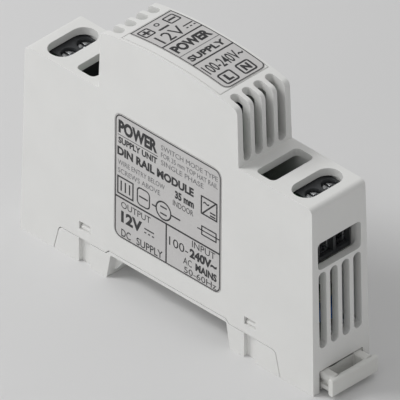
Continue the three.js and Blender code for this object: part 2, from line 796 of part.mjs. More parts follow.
// ---------------------------------------------------------------- parts on the board

const seated = boardFace + standOff;
const partRoom = innerHalfWidth - farWallGap - seated;
const bulkRadius = partRoom / 2;
const boardUpperHalf = riserHalfLength - riserWall - boardSideGap;
const boardTop = archAt(boardUpperHalf, archWall) - boardArchGap;
const bulkZ = boardTop - bulkDrop;

// A straight lead from inside a part down through the board.
function lead(x, z, top) {
  leadHoles.push([x, z, leadHole]);
  return rod("y", [x, z], leadRadius, boardBack - leadTail, top, 6);
}

// A body turned about an axis that stands on the board, from [radius, height] pairs.
function turnedOnBoard(x, z, profile, sides = 20) {
  const geometry = new THREE.LatheGeometry(profile.map(([r, h]) => new THREE.Vector2(r, seated + h)), sides);
  geometry.translate(x, 0, z);
  return solidOf(geometry);
}

function standingCapacitor(x, z, radius, height) {
  const profile = [
    [0, 0], [radius, 0], [radius, 1.2], [radius - 0.35, 1.5], [radius, 1.8],
    [radius, height - 0.4], [radius - 0.5, height], [0, height],
  ];
  return join(turnedOnBoard(x, z, profile), lead(x - 1.5, z, seated + 1), lead(x + 1.5, z, seated + 1));
}

function makeBulkCapacitor() {
  const y = seated + bulkRadius;
  const half = bulkLength / 2;
  const profile = [
    [0, -half], [bulkRadius - 0.5, -half], [bulkRadius, -half + 0.5], [bulkRadius, half - 2],
    [bulkRadius - 0.35, half - 1.7], [bulkRadius, half - 1.4], [bulkRadius, half], [0, half],
  ].map(([r, x]) => new THREE.Vector2(r, x));
  const can = new THREE.LatheGeometry(profile, 20);
  can.rotateZ(-Math.PI / 2);
  can.translate(0, y, bulkZ);
  const leads = [-2.5, 2.5].map((dz) => {
    const z = bulkZ + dz;
    leadHoles.push([half + 1.7, z, leadHole]);
    const side = [z - 0.3, z + 0.3];
    return join(
      block([half - 0.5, half + 2], [y - 0.3, y + 0.3], side),
      block([half + 1.4, half + 2], [boardBack - leadTail, y + 0.3], side),
    );
  });
  return join(solidOf(can), ...leads);
}

addPart("bulk_capacitor", makeBulkCapacitor(), materials.sleeve);
[[-24, 17.2], [-24, 26], [-25.5, 35]].forEach(([x, z], i) => {
  addPart(`output_capacitor_${i + 1}`, standingCapacitor(x, z, 4, partRoom), materials.sleeve);
});

// The transformer lies along X: a bobbin on the centre leg of two E-shaped ferrite halves.
const coreY = boardFace + 0.6 + windingHalfY;

function aroundCore(halfX, halfY, halfZ) {
  return block([-halfX, halfX], [coreY - halfY, coreY + halfY], [coreZ - halfZ, coreZ + halfZ]);
}

function makeCoreHalf(sign) {
  const half = coreLength / 2;
  const tall = coreHeight / 2;
  const start = 0.1;
  const outline = [
    [half, -tall], [half, tall], [start, tall], [start, tall - coreLeg], [half - coreLeg, tall - coreLeg],
    [half - coreLeg, coreLeg], [start, coreLeg], [start, -coreLeg], [half - coreLeg, -coreLeg],
    [half - coreLeg, -tall + coreLeg], [start, -tall + coreLeg], [start, -tall],
  ].map(([x, z]) => new THREE.Vector2(sign * x, coreZ + z));
  return prismY(sign > 0 ? outline : outline.reverse(), coreY - coreStack / 2, coreY + coreStack / 2);
}

function makeBobbin() {
  const flangeOuter = coreLength / 2 - coreLeg - slideGap;
  const flangeInner = flangeOuter - 0.7;
  const flanges = aroundCore(flangeOuter, windingHalfY, windingHalfZ + 0.3);
  const between = cut(aroundCore(flangeInner, 10, 10), aroundCore(10, coreStack / 2 + 0.9, coreLeg + 0.9));
  const pins = [-1, 1].flatMap((sign) => [-1, 0, 1].map((row) => {
    const x = sign * (flangeOuter - 0.35);
    return lead(x, coreZ + row * 4, coreY - windingHalfY + 0.5);
  }));
  const centreLeg = aroundCore(10, coreStack / 2 + slideGap, coreLeg + slideGap);
  return cut(join(cut(flanges, between), ...pins), centreLeg);
}

function makeWinding() {
  const half = coreLength / 2 - coreLeg - slideGap - 0.9;
  const outline = roundedBox(coreY - windingHalfY + 0.2, coreY + windingHalfY - 0.2,
    coreZ - windingHalfZ, coreZ + windingHalfZ, 2, 4);
  return cut(prismX(outline, -half, half), aroundCore(10, coreStack / 2 + 1.1, coreLeg + 1.1));
}

function makeCoreTape() {
  const x = coreLength / 2;
  const z = coreHeight / 2;
  const ring = roundedBox(-x - 0.35, x + 0.35, coreZ - z - 0.35, coreZ + z + 0.35, 0.35, 2);
  const inside = roundedBox(-x - 0.1, x + 0.1, coreZ - z - 0.1, coreZ + z + 0.1, 0.1, 1);
  return cut(prismY(ring, coreY - 1.9, coreY + 1.9), prismY(inside, ...across));
}

addPart("transformer_core_output", makeCoreHalf(-1), materials.ferrite);
addPart("transformer_core_input", makeCoreHalf(1), materials.ferrite);
addPart("transformer_bobbin", makeBobbin(), materials.bobbin);
addPart("transformer_winding", makeWinding(), materials.copper);
addPart("transformer_tape", makeCoreTape(), materials.tape);

// The mains filter choke: a ferrite ring with one winding on each side.
function ring(x, z, inner, outer, low, high) {
  const profile = [[inner, low], [outer, low], [outer, high], [inner, high], [inner, low]];
  return turnedOnBoard(x, z, profile, 24);
}

function chokeWinding(x, z, sign) {
  const coil = cut(ring(x, z, 1.9, 5.2, 0.1, 5.3), ring(x, z, 2.45, 4.75, 0.6, 4.8));
  const sector = block(span(x + sign * 0.9, x + sign * 8), across, [z - 4.1, z + 4.1]);
  const leads = [-3, 3].map((dz) => lead(x + sign * 3.2, z + dz, seated + 0.4));
  return join(coil.intersect(sector), ...leads);
}

const chokeX = 25.6;
const chokeZ = 25.6;
addPart("choke_core", ring(chokeX, chokeZ, 2.6, 4.6, 0.8, 4.6), materials.ferrite);
addPart("choke_winding_line", chokeWinding(chokeX, chokeZ, -1), materials.copper);
addPart("choke_winding_neutral", chokeWinding(chokeX, chokeZ, 1), materials.copper);

// A moulded rectangular part with a row of leads.
function mouldedPart([x0, x1], height, [z0, z1], radius, leads) {
  const body = prismY(roundedBox(x0, x1, z0, z1, radius, 2), seated, seated + height);
  return join(body, ...leads.map(([x, z]) => lead(x, z, seated + 0.5)));
}

addPart("x_capacitor", mouldedPart([19.5, 31], 9, [13, 19], 0.5, [[21, 16], [29.5, 16]]), materials.film);
addPart("bridge_rectifier", mouldedPart([21, 29.5], 3.4, [34, 40.5], 0.3,
  [[22, 35], [22, 39.5], [28.5, 35], [28.5, 39.5]]), materials.resin);
addPart("optocoupler", mouldedPart([-9.5, -5], 3.4, [39, 45.4], 0.3,
  [[-8.9, 39.9], [-8.9, 44.5], [-5.6, 39.9], [-5.6, 44.5]]), materials.resin);
addPart("control_ic", mouldedPart([7, 13], 1.6, [40.5, 45], 0.3,
  [[8, 41.3], [8, 44.2], [12, 41.3], [12, 44.2]]), materials.resin);

// A disc part that stands on edge: its faces look along Z.
function standingDisc(x, z, radius, thickness) {
  const y = seated + 0.8 + radius;
  const disc = rod("z", [x, y], radius, z - thickness / 2, z + thickness / 2, 20);
  return join(disc, ...[-2.5, 2.5].map((dx) => lead(x + dx, z, y - radius * 0.6)));
}

addPart("varistor", standingDisc(36.6, 14.9, 4.2, 3.6), materials.ceramic);
addPart("inrush_thermistor", standingDisc(36.6, 19.8, 3.6, 3), materials.resin);
addPart("safety_capacitor", standingDisc(0, 43.2, 3.6, 3.2), materials.ceramic);

function makeFuse() {
  const z = 26;
  const y = seated + 2.6;
  const profile = [
    [0, 31.8], [1.8, 31.8], [1.8, 33.8], [1.6, 34], [1.6, 38.8], [1.8, 39], [1.8, 41], [0, 41],
  ].map(([r, x]) => new THREE.Vector2(r, x));
  const tube = new THREE.LatheGeometry(profile, 16);
  tube.rotateZ(-Math.PI / 2);
  tube.translate(0, y, z);
  return join(solidOf(tube), lead(32.8, z, y), lead(40, z, y));
}

addPart("fuse", makeFuse(), materials.glass);

// The output filter inductor: a ferrite drum with its winding in the waist.
const drumX = -36.6;
const drumZ = 20;
const drumProfile = [[0, 0], [4, 0], [4, 1.2], [2.2, 1.2], [2.2, 6.6], [4, 6.6], [4, 7.8], [0, 7.8]];
addPart("output_inductor_core", turnedOnBoard(drumX, drumZ, drumProfile), materials.ferrite);
addPart("output_inductor_winding", ring(drumX, drumZ, 2.4, 3.6, 1.4, 6.4), materials.copper);

// Each power semiconductor is screwed to its own upright aluminium plate.
const sinkScrewY = seated + partRoom - 3;

function onSink(sign, from, to, y, z) {
  return block(span(sign * from, sign * to), y, z);
}

function makeSink(sign) {
  const plate = onSink(sign, sinkX, sinkX + sinkThickness, [seated, seated + partRoom],
    [packageZ - sinkHeight / 2, packageZ + sinkHeight / 2]);
  const hole = rod("x", [sinkScrewY, packageZ], sinkScrewRadius + 0.15, ...span(sign * 5, sign * 25));
  const pegs = [-7, 7].map((dz) => lead(sign * (sinkX + sinkThickness / 2), packageZ + dz, seated + 0.4));
  return join(cut(plate, hole), ...pegs);
}

function makePackage(sign) {
  const back = sinkX - 0.3;
  const body = onSink(sign, back, back - packageThickness, [seated + 2.5, seated + partRoom],
    [packageZ - packageWidth / 2, packageZ + packageWidth / 2]);
  const hole = rod("x", [sinkScrewY, packageZ], sinkScrewRadius + 0.25, ...span(sign * 5, sign * 25));
  const leadX = sign * (back - packageThickness / 2);
  const leads = spread(3, packageLeadPitch).map((dz) => lead(leadX, packageZ + dz, seated + 3));
  return join(cut(body, hole), ...leads);
}

function makeSinkScrew(sign) {
  const seat = sinkX - 0.3 - packageThickness;
  const axis = [sinkScrewY, packageZ];
  const shank = rod("x", axis, sinkScrewRadius, ...span(sign * (seat - 1), sign * (sinkX + 2.4)));
  const head = rod("x", axis, sinkScrewHead / 2, ...span(sign * (seat - 0.3), sign * (seat - 2)), 20);
  const slot = block(span(sign * (seat - 1.3), sign * (seat - 3)), [sinkScrewY - 3, sinkScrewY + 3],
    [packageZ - 0.35, packageZ + 0.35]);
  return cut(join(shank, head), slot);
}

[["output_rectifier", -1], ["switching_transistor", 1]].forEach(([name, sign]) => {
  addPart(name, makePackage(sign), materials.resin);
  addPart(`${name}_heat_sink`, makeSink(sign), materials.aluminium);
  addPart(`${name}_screw`, makeSinkScrew(sign), materials.plated);
});

// ---------------------------------------------------------------- circuit board

function makeBoard() {
  const boardLowerHalf = baseEnd - baseWall - boardGap;
  const boardBottom = railSeatHeight + baseFloor + boardGap;
  const boardLowerTop = shoulderHeight - shoulderWall - boardTopGap;
  const outline = rounded(mirrored([
    [boardLowerHalf, boardBottom, 1],
    [boardLowerHalf, boardLowerTop, 1],
    [boardUpperHalf, boardLowerTop],
    [boardUpperHalf, boardTop, 1],
  ]), 2);
  const holes = leadHoles.map(([x, z, radius]) => rod("y", [x, z], radius, -8, 8, 6));
  return cut(prismY(outline, boardBack, boardFace), ...holes);
}

addPart("circuit_board", makeBoard(), materials.board);

export default root;
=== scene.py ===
import math

import bmesh
import bpy
import numpy as np
from mathutils import Matrix, Vector
from mathutils.geometry import area_tri, delaunay_2d_cdt


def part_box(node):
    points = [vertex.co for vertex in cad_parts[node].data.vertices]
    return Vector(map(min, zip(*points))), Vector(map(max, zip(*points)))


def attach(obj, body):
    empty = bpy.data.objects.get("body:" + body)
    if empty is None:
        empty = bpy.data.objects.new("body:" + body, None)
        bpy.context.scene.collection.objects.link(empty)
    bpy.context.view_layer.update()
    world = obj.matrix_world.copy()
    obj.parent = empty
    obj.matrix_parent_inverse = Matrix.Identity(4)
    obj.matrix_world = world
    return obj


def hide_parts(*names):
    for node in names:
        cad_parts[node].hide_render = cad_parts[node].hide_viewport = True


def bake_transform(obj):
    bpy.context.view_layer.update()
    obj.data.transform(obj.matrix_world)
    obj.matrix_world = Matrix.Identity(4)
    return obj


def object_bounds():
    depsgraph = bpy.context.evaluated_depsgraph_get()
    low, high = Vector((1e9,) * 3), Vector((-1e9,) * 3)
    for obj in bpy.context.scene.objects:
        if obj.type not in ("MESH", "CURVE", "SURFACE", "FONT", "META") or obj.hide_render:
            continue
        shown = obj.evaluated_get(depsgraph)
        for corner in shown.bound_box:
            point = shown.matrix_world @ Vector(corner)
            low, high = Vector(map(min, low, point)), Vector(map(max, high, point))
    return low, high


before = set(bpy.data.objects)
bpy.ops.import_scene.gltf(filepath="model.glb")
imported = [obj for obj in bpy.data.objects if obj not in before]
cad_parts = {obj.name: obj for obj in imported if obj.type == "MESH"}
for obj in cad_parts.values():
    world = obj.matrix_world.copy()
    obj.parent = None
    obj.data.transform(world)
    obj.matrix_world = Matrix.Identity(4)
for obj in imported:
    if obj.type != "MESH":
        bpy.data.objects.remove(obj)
cad_low, cad_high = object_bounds()
mm = 0.001

# ---------------------------------------------------------------- camera, floor and light
# The module stands on its two feet on a pale floor, seen along the isometric direction from
# above the sprung latch, with the rating label towards the viewer.

view_direction = Vector((1, -1, 1)).normalized()
view_target = Vector((1.52, 0, 20.14)) * mm
view_distance = 0.6
camera_data = bpy.data.cameras.new("camera")
camera_data.type = "ORTHO"
camera_data.ortho_scale = 87.9 * mm
camera_data.clip_start = 0.01
camera_data.clip_end = 20
camera = bpy.data.objects.new("camera", camera_data)
camera.location = view_target + view_direction * view_distance
camera.rotation_euler = view_direction.to_track_quat("Z", "Y").to_euler()
bpy.context.scene.collection.objects.link(camera)
bpy.context.scene.camera = camera


def place(tree, kind, values=(), **settings):
    """Adds a node, sets it up, and gives its inputs values or links to other nodes' outputs."""
    node = tree.nodes.new(kind)
    for key, value in settings.items():
        setattr(node, key, value)
    for key, value in dict(values).items():
        if isinstance(value, bpy.types.NodeSocket):
            tree.links.new(value, node.inputs[key])
        else:
            node.inputs[key].default_value = value
    return node


def new_finish(name):
    """An empty material, with its tree, its shader and the place on the piece."""
    material = bpy.data.materials.new(name)
    material.use_nodes = True
    tree = material.node_tree
    shader = tree.nodes["Principled BSDF"]
    spot = place(tree, "ShaderNodeTexCoord").outputs["Object"]
    return material, tree, shader, spot


def mottled(tree, spot, size, low, high):
    """Noise with blotches of this size in metres, from one value or colour to another."""
    noise = place(tree, "ShaderNodeTexNoise", {"Vector": spot, "Scale": 1 / size, "Detail": 2})
    if isinstance(low, tuple):
        ramp = place(tree, "ShaderNodeValToRGB", {"Fac": noise.outputs["Fac"]})
        ramp.color_ramp.elements[0].position = 0.3
        ramp.color_ramp.elements[1].position = 0.7
        ramp.color_ramp.elements[0].color = (*low, 1)
        ramp.color_ramp.elements[1].color = (*high, 1)
        return ramp.outputs["Color"]
    spread = place(tree, "ShaderNodeMapRange", {"Value": noise.outputs["Fac"], "From Min": 0.3,
                                                "From Max": 0.7, "To Min": low, "To Max": high})
    return spread.outputs["Result"]


def textured_relief(tree, spot, size, depth):
    """Fine bumps of this size and depth in metres."""
    noise = place(tree, "ShaderNodeTexNoise", {"Vector": spot, "Scale": 1 / size, "Detail": 3})
    bump = place(tree, "ShaderNodeBump", {"Height": noise.outputs["Fac"], "Distance": depth})
    return bump.outputs["Normal"]


def floor_paint():
    material, tree, shader, spot = new_finish("floor_paint")
    tone = mottled(tree, spot, 0.3, (0.70, 0.70, 0.70), (0.725, 0.725, 0.725))
    tree.links.new(tone, shader.inputs["Base Color"])
    shader.inputs["Roughness"].default_value = 0.9
    return material


floor_half = 3
floor_mesh = bpy.data.meshes.new("floor")
floor_corners = [(-floor_half, -floor_half), (floor_half, -floor_half),
                 (floor_half, floor_half), (-floor_half, floor_half)]
floor_mesh.from_pydata([(x, y, cad_low.z) for x, y in floor_corners], [], [(0, 1, 2, 3)])
floor_mesh.materials.append(floor_paint())
floor = bpy.data.objects.new("floor", floor_mesh)
bpy.context.scene.collection.objects.link(floor)

sky = bpy.data.worlds.new("studio")
sky.use_nodes = True
sky.node_tree.nodes["Background"].inputs["Color"].default_value = (1, 1, 1, 1)
sky.node_tree.nodes["Background"].inputs["Strength"].default_value = 0.42
bpy.context.scene.world = sky
bpy.context.scene.view_settings.view_transform = "Standard"


def soft_box(name, place_at, size, power):
    """A square studio lamp that faces the module."""
    lamp = bpy.data.lights.new(name, "AREA")
    lamp.size = size
    lamp.energy = power
    holder = bpy.data.objects.new(name, lamp)
    holder.location = place_at
    holder.rotation_euler = (Vector(place_at) - view_target).to_track_quat("Z", "Y").to_euler()
    bpy.context.scene.collection.objects.link(holder)


soft_box("key_lamp", (-0.42, -0.38, 0.62), 0.3, 3.2)
soft_box("side_lamp", (0.05, -0.75, 0.2), 0.4, 0.5)
soft_box("back_lamp", (-0.1, 0.6, 0.5), 0.5, 0.6)

# ---------------------------------------------------------------- housing hood
# The outer shell of the module, moulded in one piece from off-white polycarbonate with
# finely spark-eroded outer faces; both ends have cooling slots and terminal openings.


def moulded_plastic(name, colour, shade, grain, depth, roughness):
    """A moulded thermoplastic: nearly even colour, a fine matt grain and soft sheen."""
    material, tree, shader, spot = new_finish(name)
    tree.links.new(mottled(tree, spot, 11 * mm, shade, colour), shader.inputs["Base Color"])
    tree.links.new(mottled(tree, spot, 3 * mm, roughness - 0.05, roughness + 0.05),
                   shader.inputs["Roughness"])
    tree.links.new(textured_relief(tree, spot, grain, depth), shader.inputs["Normal"])
    shader.inputs["Specular IOR Level"].default_value = 0.45
    return material


def own_piece(name, mesh, material, body):
    """A finished mesh becomes a named piece that rides on its body."""
    piece = bpy.data.objects.new(name, mesh)
    bpy.context.scene.collection.objects.link(piece)
    mesh.materials.clear()
    mesh.materials.append(material)
    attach(piece, body)
    return piece


def flat_faces_kept(mesh):
    """The same mesh shaded so that only its rounded edges bend the light."""
    holder = bpy.data.objects.new("holder", mesh)
    bpy.context.scene.collection.objects.link(holder)
    evening = holder.modifiers.new("evening", "WEIGHTED_NORMAL")
    evening.mode = "FACE_AREA"
    evening.weight = 100
    evening.keep_sharp = True
    depsgraph = bpy.context.evaluated_depsgraph_get()
    evened = bpy.data.meshes.new_from_object(holder.evaluated_get(depsgraph))
    bpy.data.objects.remove(holder)
    return evened


same_spot = 2e-7
same_direction = 0.99999
sliver_area = 1e-13


def flat_region(seed, waiting):
    """The faces joined to this one that lie in its plane, whichever way they face."""
    region = [seed]
    for face in region:
        for line in face.edges:
            for other in line.link_faces:
                drift = abs((other.calc_center_median() - seed.verts[0].co).dot(seed.normal))
                turned = (other.calc_area() > sliver_area
                          and abs(other.normal.dot(seed.normal)) < same_direction)
                if other in waiting and drift < same_spot and not turned:
                    waiting.discard(other)
                    region.append(other)
    return region


def within(spot, corners, lines):
    """Whether the spot lies inside the outline that these lines between corners make."""
    crossings = 0
    for first, last in lines:
        (left, low), (right, high) = corners[first], corners[last]
        if (low > spot.y) != (high > spot.y):
            crossings += spot.x < left + (spot.y - low) * (right - left) / (high - low)
    return crossings % 2 == 1


def from_least(ring):
    """The same ring of corner numbers, begun at the lowest of them."""
    start = ring.index(min(ring))
    return ring[start:] + ring[:start]


def refill_flats(shape):
    """Fills each flat stretch anew inside its outline, so thin triangles don't fold over.

    A stretch whose outline crosses itself stays as it was.
    """
    triangles_inside, nearest_points = 1, 1e-6
    area_share, least_area = 1e-4, 1e-10
    shape.normal_update()
    order = {corner: index for index, corner in enumerate(shape.verts)}
    by_size = sorted(shape.faces, key=lambda face: -face.calc_area())
    waiting = set(by_size)
    regions = []
    for seed in by_size:
        if seed in waiting:
            waiting.discard(seed)
            regions.append((seed.normal.copy(), flat_region(seed, waiting)))
    for facing, region in regions:
        inside = set(region)
        across = facing.orthogonal().normalized()
        upward = facing.cross(across)
        outline = [line for face in region for line in face.edges
                   if sum(other in inside for other in line.link_faces) == 1]
        corners = sorted({corner for line in outline for corner in line.verts}, key=order.get)
        if len(region) < 3 or len(corners) < 4:
            continue
        number = {corner: index for index, corner in enumerate(corners)}
        flat = [Vector((corner.co.dot(across), corner.co.dot(upward))) / mm for corner in corners]
        lines = sorted(tuple(sorted(number[corner] for corner in line.verts)) for line in outline)
        points, _, faces, sources, _, _ = delaunay_2d_cdt(flat, lines, [], triangles_inside,
                                                          nearest_points)
        fresh = [face for face in faces
                 if within(sum((points[i] for i in face), Vector((0, 0))) / 3, flat, lines)]
        wanted = sum(face.calc_area() * face.normal.dot(facing) for face in region)
        found = sum(area_tri(*[points[i] for i in face]) for face in fresh) * mm ** 2
        strayed = abs(found - wanted) > area_share * wanted + least_area
        if len(points) != len(corners) or strayed:
            continue
        bmesh.ops.delete(shape, geom=region, context="FACES_ONLY")
        for ring in sorted(from_least([sources[i][0] for i in face]) for face in fresh):
            shape.faces.new([corners[index] for index in ring])
    bmesh.ops.delete(shape, geom=[line for line in shape.edges if not line.link_faces],
                     context="EDGES")
    shape.normal_update()


def machined_copy(node, edge, steps, sharp=35, join=0.03 * mm):
    """The node's shape as one clean mesh whose sharp edges get a small rounding."""
    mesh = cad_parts[node].data.copy()
    for extra in ("custom_normal", "sharp_face", "sharp_edge"):
        if extra in mesh.attributes:
            mesh.attributes.remove(mesh.attributes[extra])
    shape = bmesh.new()
    shape.from_mesh(mesh)
    bmesh.ops.remove_doubles(shape, verts=shape.verts, dist=join)
    if edge > 0:
        corners = [line for line in shape.edges if line.calc_face_angle(0) > math.radians(sharp)]
        bmesh.ops.bevel(shape, geom=corners, offset=edge, offset_type="OFFSET", segments=steps,
                        profile=0.5, affect="EDGES", loop_slide=True, miter_outer="ARC")
        bmesh.ops.remove_doubles(shape, verts=shape.verts, dist=same_spot)
        refill_flats(shape)
    bmesh.ops.dissolve_limit(shape, angle_limit=math.radians(0.3), verts=shape.verts,
                             edges=shape.edges)
    # Edges and new faces come in no fixed order, so the faces are sorted to be alike in every run.
    shape.verts.index_update()
    spots = [corner.co.copy() for corner in shape.verts]
    rings = sorted(from_least([corner.index for corner in face.verts]) for face in shape.faces)
    shape.free()
    mesh.clear_geometry()
    mesh.from_pydata(spots, [], rings)
    mesh.shade_smooth()
    mesh.set_sharp_from_angle(angle=math.radians(sharp))
    return flat_faces_kept(mesh)


def finished_node(name, node, material, body="housing", edge=0.15 * mm, steps=2, sharp=35,
                  join=0.03 * mm):
    """A piece that takes a node's exact shape and replaces it."""
    piece = own_piece(name, machined_copy(node, edge, steps, sharp, join), material, body)
    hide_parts(node)
    return piece


housing_white = moulded_plastic("housing_white", (0.80, 0.80, 0.785), (0.775, 0.775, 0.76),
                                0.35 * mm, 0.006 * mm, 0.5)
finished_node("hood", "housing_hood", housing_white, edge=0.06 * mm)

# ---------------------------------------------------------------- front plate
# A separate arched cover of the same plastic that snaps into the rebate with four legs.

finished_node("front_cover", "front_plate", housing_white, edge=0.12 * mm)

# ---------------------------------------------------------------- labels
# Two printed polyester films lie in shallow pockets: one on the front plate, read along the
# width, and one on the near side. The print is thin ink of two strengths.

label_film = moulded_plastic("label_film", (0.60, 0.59, 0.585), (0.575, 0.565, 0.56),
                             0.8 * mm, 0.002 * mm, 0.42)


def printing_ink(name, colour, shade):
    """Screen printing ink with slightly uneven cover."""
    material, tree, shader, spot = new_finish(name)
    tree.links.new(mottled(tree, spot, 0.7 * mm, shade, colour), shader.inputs["Base Color"])
    tree.links.new(mottled(tree, spot, 0.4 * mm, 0.4, 0.55), shader.inputs["Roughness"])
    return material


dark_ink = printing_ink("dark_ink", (0.018, 0.018, 0.02), (0.03, 0.03, 0.032))
grey_ink = printing_ink("grey_ink", (0.15, 0.15, 0.155), (0.19, 0.19, 0.195))

housing_bottom = cad_low.z
film_thickness = 0.2 * mm
ink_height = 0.03 * mm
joined_points = 1e-4
smallest_radius = 0.01
nearly_round = 0.999


def filled(curve):
    """A filled flat curve as a closed mesh, one unit thick."""
    curve.extrude = 0.5
    holder = bpy.data.objects.new("holder", curve)
    bpy.context.scene.collection.objects.link(holder)
    depsgraph = bpy.context.evaluated_depsgraph_get()
    mesh = bpy.data.meshes.new_from_object(holder.evaluated_get(depsgraph))
    bpy.data.objects.remove(holder)
    return mesh


def outline_mark(*outlines):
    """A mark from closed outlines in label millimetres; one outline inside another is a hole."""
    curve = bpy.data.curves.new("mark", "CURVE")
    curve.dimensions = "2D"
    curve.fill_mode = "BOTH"
    for outline in outlines:
        spline = curve.splines.new("POLY")
        spline.points.add(len(outline) - 1)
        spline.use_cyclic_u = True
        for point, (a, b) in zip(spline.points, outline):
            point.co = (a, b, 0, 1)
    return filled(curve)


def words(text, left, right, bottom, top, weight=0.0):
    """Lettering stretched to fill a rectangle on the label."""
    curve = bpy.data.curves.new("words", "FONT")
    curve.body = text
    curve.offset = weight
    curve.resolution_u = 3
    mesh = filled(curve)
    points = np.array([v.co for v in mesh.vertices])
    low, high = points.min(0), points.max(0)
    points[:, 0] = left + (points[:, 0] - low[0]) * (right - left) / (high[0] - low[0])
    points[:, 1] = bottom + (points[:, 1] - low[1]) * (top - bottom) / (high[1] - low[1])
    mesh.vertices.foreach_set("co", points.ravel())
    return mesh


def oblong(left, right, bottom, top, radius=0.0, steps=5):
    """A rectangle with round corners as an outline."""
    if radius == 0:
        return [(left, bottom), (right, bottom), (right, top), (left, top)]
    corners = [(right - radius, top - radius, 0), (left + radius, top - radius, 90),
               (left + radius, bottom + radius, 180), (right - radius, bottom + radius, 270)]
    outline = []
    for a, b, start in corners:
        for step in range(steps + 1):
            angle = math.radians(start + 90 * step / steps)
            outline.append((a + radius * math.cos(angle), b + radius * math.sin(angle)))
    return outline


def bar(left, right, bottom, top):
    return outline_mark(oblong(left, right, bottom, top))


def box_line(left, right, bottom, top, radius, line):
    """A line of even thickness round a rectangle."""
    inside = oblong(left + line, right - line, bottom + line, top - line,
                    max(radius - line, smallest_radius))
    return outline_mark(oblong(left, right, bottom, top, radius), inside)


def ring_line(a, b, radius, line):
    return box_line(a - radius, a + radius, b - radius, b + radius, radius * nearly_round, line)


def direct_current(left, right, middle, line):
    """The sign for direct current: a long stroke over three short ones."""
    share = (right - left) / 5
    marks = [bar(left, right, middle + line, middle + 2 * line)]
    for step in range(3):
        start = left + 2 * step * share
        marks.append(bar(start, start + share, middle - 2 * line, middle - line))
    return marks


def printed(name, marks, ink, on_label, cuts=()):
    """All marks of one ink as one mesh, laid on the label by on_label(a, b, height)."""
    shape = bmesh.new()
    for mark in marks:
        shape.from_mesh(mark)
    bmesh.ops.remove_doubles(shape, verts=shape.verts, dist=joined_points)
    for level in cuts:
        everything = shape.verts[:] + shape.edges[:] + shape.faces[:]
        bmesh.ops.bisect_plane(shape, geom=everything, plane_co=(0, level, 0), plane_no=(0, 1, 0))
    for vertex in shape.verts:
        a, b, height = vertex.co
        vertex.co = on_label(a, b, height * ink_height / mm) * mm
    mesh = bpy.data.meshes.new(name)
    shape.to_mesh(mesh)
    shape.free()
    return own_piece(name, mesh, ink, "housing")


finished_node("rating_label_sheet", "rating_label", label_film, edge=0.04 * mm)
side_low, side_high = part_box("rating_label")
side_lean = (side_high.y - side_low.y - film_thickness) / (side_high.z - side_low.z)


def on_side(a, b, height):
    """Side label: a along the module, b up from the feet, both in millimetres."""
    z = b * mm + housing_bottom
    face = side_low.y + (z - side_low.z) * side_lean
    return Vector((a, face / mm - height, z / mm))


side_dark = [
    box_line(-16.35, 16.35, 12.9, 45.6, 1.85, 0.3),
    bar(-16.2, 16.2, 23.3, 23.75),
    bar(-0.62, -0.2, 13.0, 23.5),
    words("POWER", -15.4, -3.4, 40.7, 44.2, 0.05),
    words("SUPPLY UNIT", -15.4, -3.4, 37.9, 39.6, 0.035),
    bar(-15.6, -3.2, 40.05, 40.2),
    words("DIN RAIL MODULE", -15.7, 8.0, 34.7, 37.0, 0.045),
    words("35 mm", 2.2, 8.1, 31.7, 33.8, 0.05),
    words("INDOOR", 1.6, 7.9, 29.5, 31.0),
    words("OUTPUT", -14.4, -5.3, 21.0, 22.7),
    words("12V", -14.4, -7.9, 17.1, 20.2, 0.045),
    *direct_current(-7.2, -4.2, 18.4, 0.34),
    words("DC", -14.3, -11.4, 13.4, 15.4, 0.01),
    words("SUPPLY", -9.6, -1.5, 13.4, 15.4, 0.01),
    words("INPUT", 7.6, 14.8, 21.3, 23.0),
    words("100-", 0.5, 6.4, 18.4, 20.7, 0.0),
    words("240V~", 6.9, 15.3, 18.2, 20.7, 0.05),
    words("AC", 4.9, 7.6, 15.6, 17.4, 0.0),
    words("MAINS", 8.7, 15.3, 15.5, 17.5, 0.045),
    words("50-60Hz", 5.2, 15.2, 13.4, 15.0),
    box_line(-15.7, -10.6, 24.3, 29.2, 0.1, 0.4),
    bar(-14.65, -14.25, 25.4, 28.1),
    bar(-13.35, -12.95, 25.4, 28.1),
    bar(-12.05, -11.65, 25.4, 28.1),
    box_line(-9.6, -5.5, 24.3, 29.2, 1.2, 0.35),
    bar(-8.9, -6.2, 26.55, 26.95),
    ring_line(-1.3, 26.5, 2.5, 0.4),
    bar(-4.9, -3.8, 26.3, 26.7),
    bar(1.2, 3.9, 26.3, 26.7),
    bar(-2.3, -0.3, 27.2, 27.6),
    bar(-2.3, -0.3, 25.4, 25.8),
    box_line(10.2, 15.4, 31.6, 36.6, 0.2, 0.4),
    outline_mark([(10.5, 31.9), (11.0, 31.9), (15.1, 36.3), (14.6, 36.3)]),
    words("~", 11.0, 12.8, 34.6, 35.3, 0.01),
    bar(13.1, 14.8, 33.0, 33.4),
    bar(13.1, 14.8, 32.2, 32.6),
    box_line(10.4, 15.2, 26.0, 28.6, 0.1, 0.35),
    bar(9.2, 16.0, 27.15, 27.45),
]
side_grey = [
    words("SWITCH MODE TYPE", -2.2, 15.4, 42.5, 43.8),
    words("FOR 35 mm TOP HAT RAIL", -2.2, 15.4, 40.5, 41.8),
    words("SINGLE PHASE", -2.2, 11.0, 38.5, 39.8),
    words("WIRE ENTRY BELOW", -15.5, -1.0, 32.2, 33.5),
    words("SCREWS ABOVE", -15.5, -2.4, 30.0, 31.3),
]
printed("rating_label_print", side_dark, dark_ink, on_side)
printed("rating_label_small_print", side_grey, grey_ink, on_side)

finished_node("front_label_sheet", "front_label", label_film, edge=0.04 * mm)
front_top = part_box("front_label")[1].z / mm
arch_radius = 100
print_lift = 0.01


def on_front(a, b, height):
    """Front label: a across the module, b towards the output end, on the arch."""
    drop = arch_radius - math.sqrt(arch_radius ** 2 - b ** 2)
    return Vector((-b, a, front_top - drop + print_lift + height))


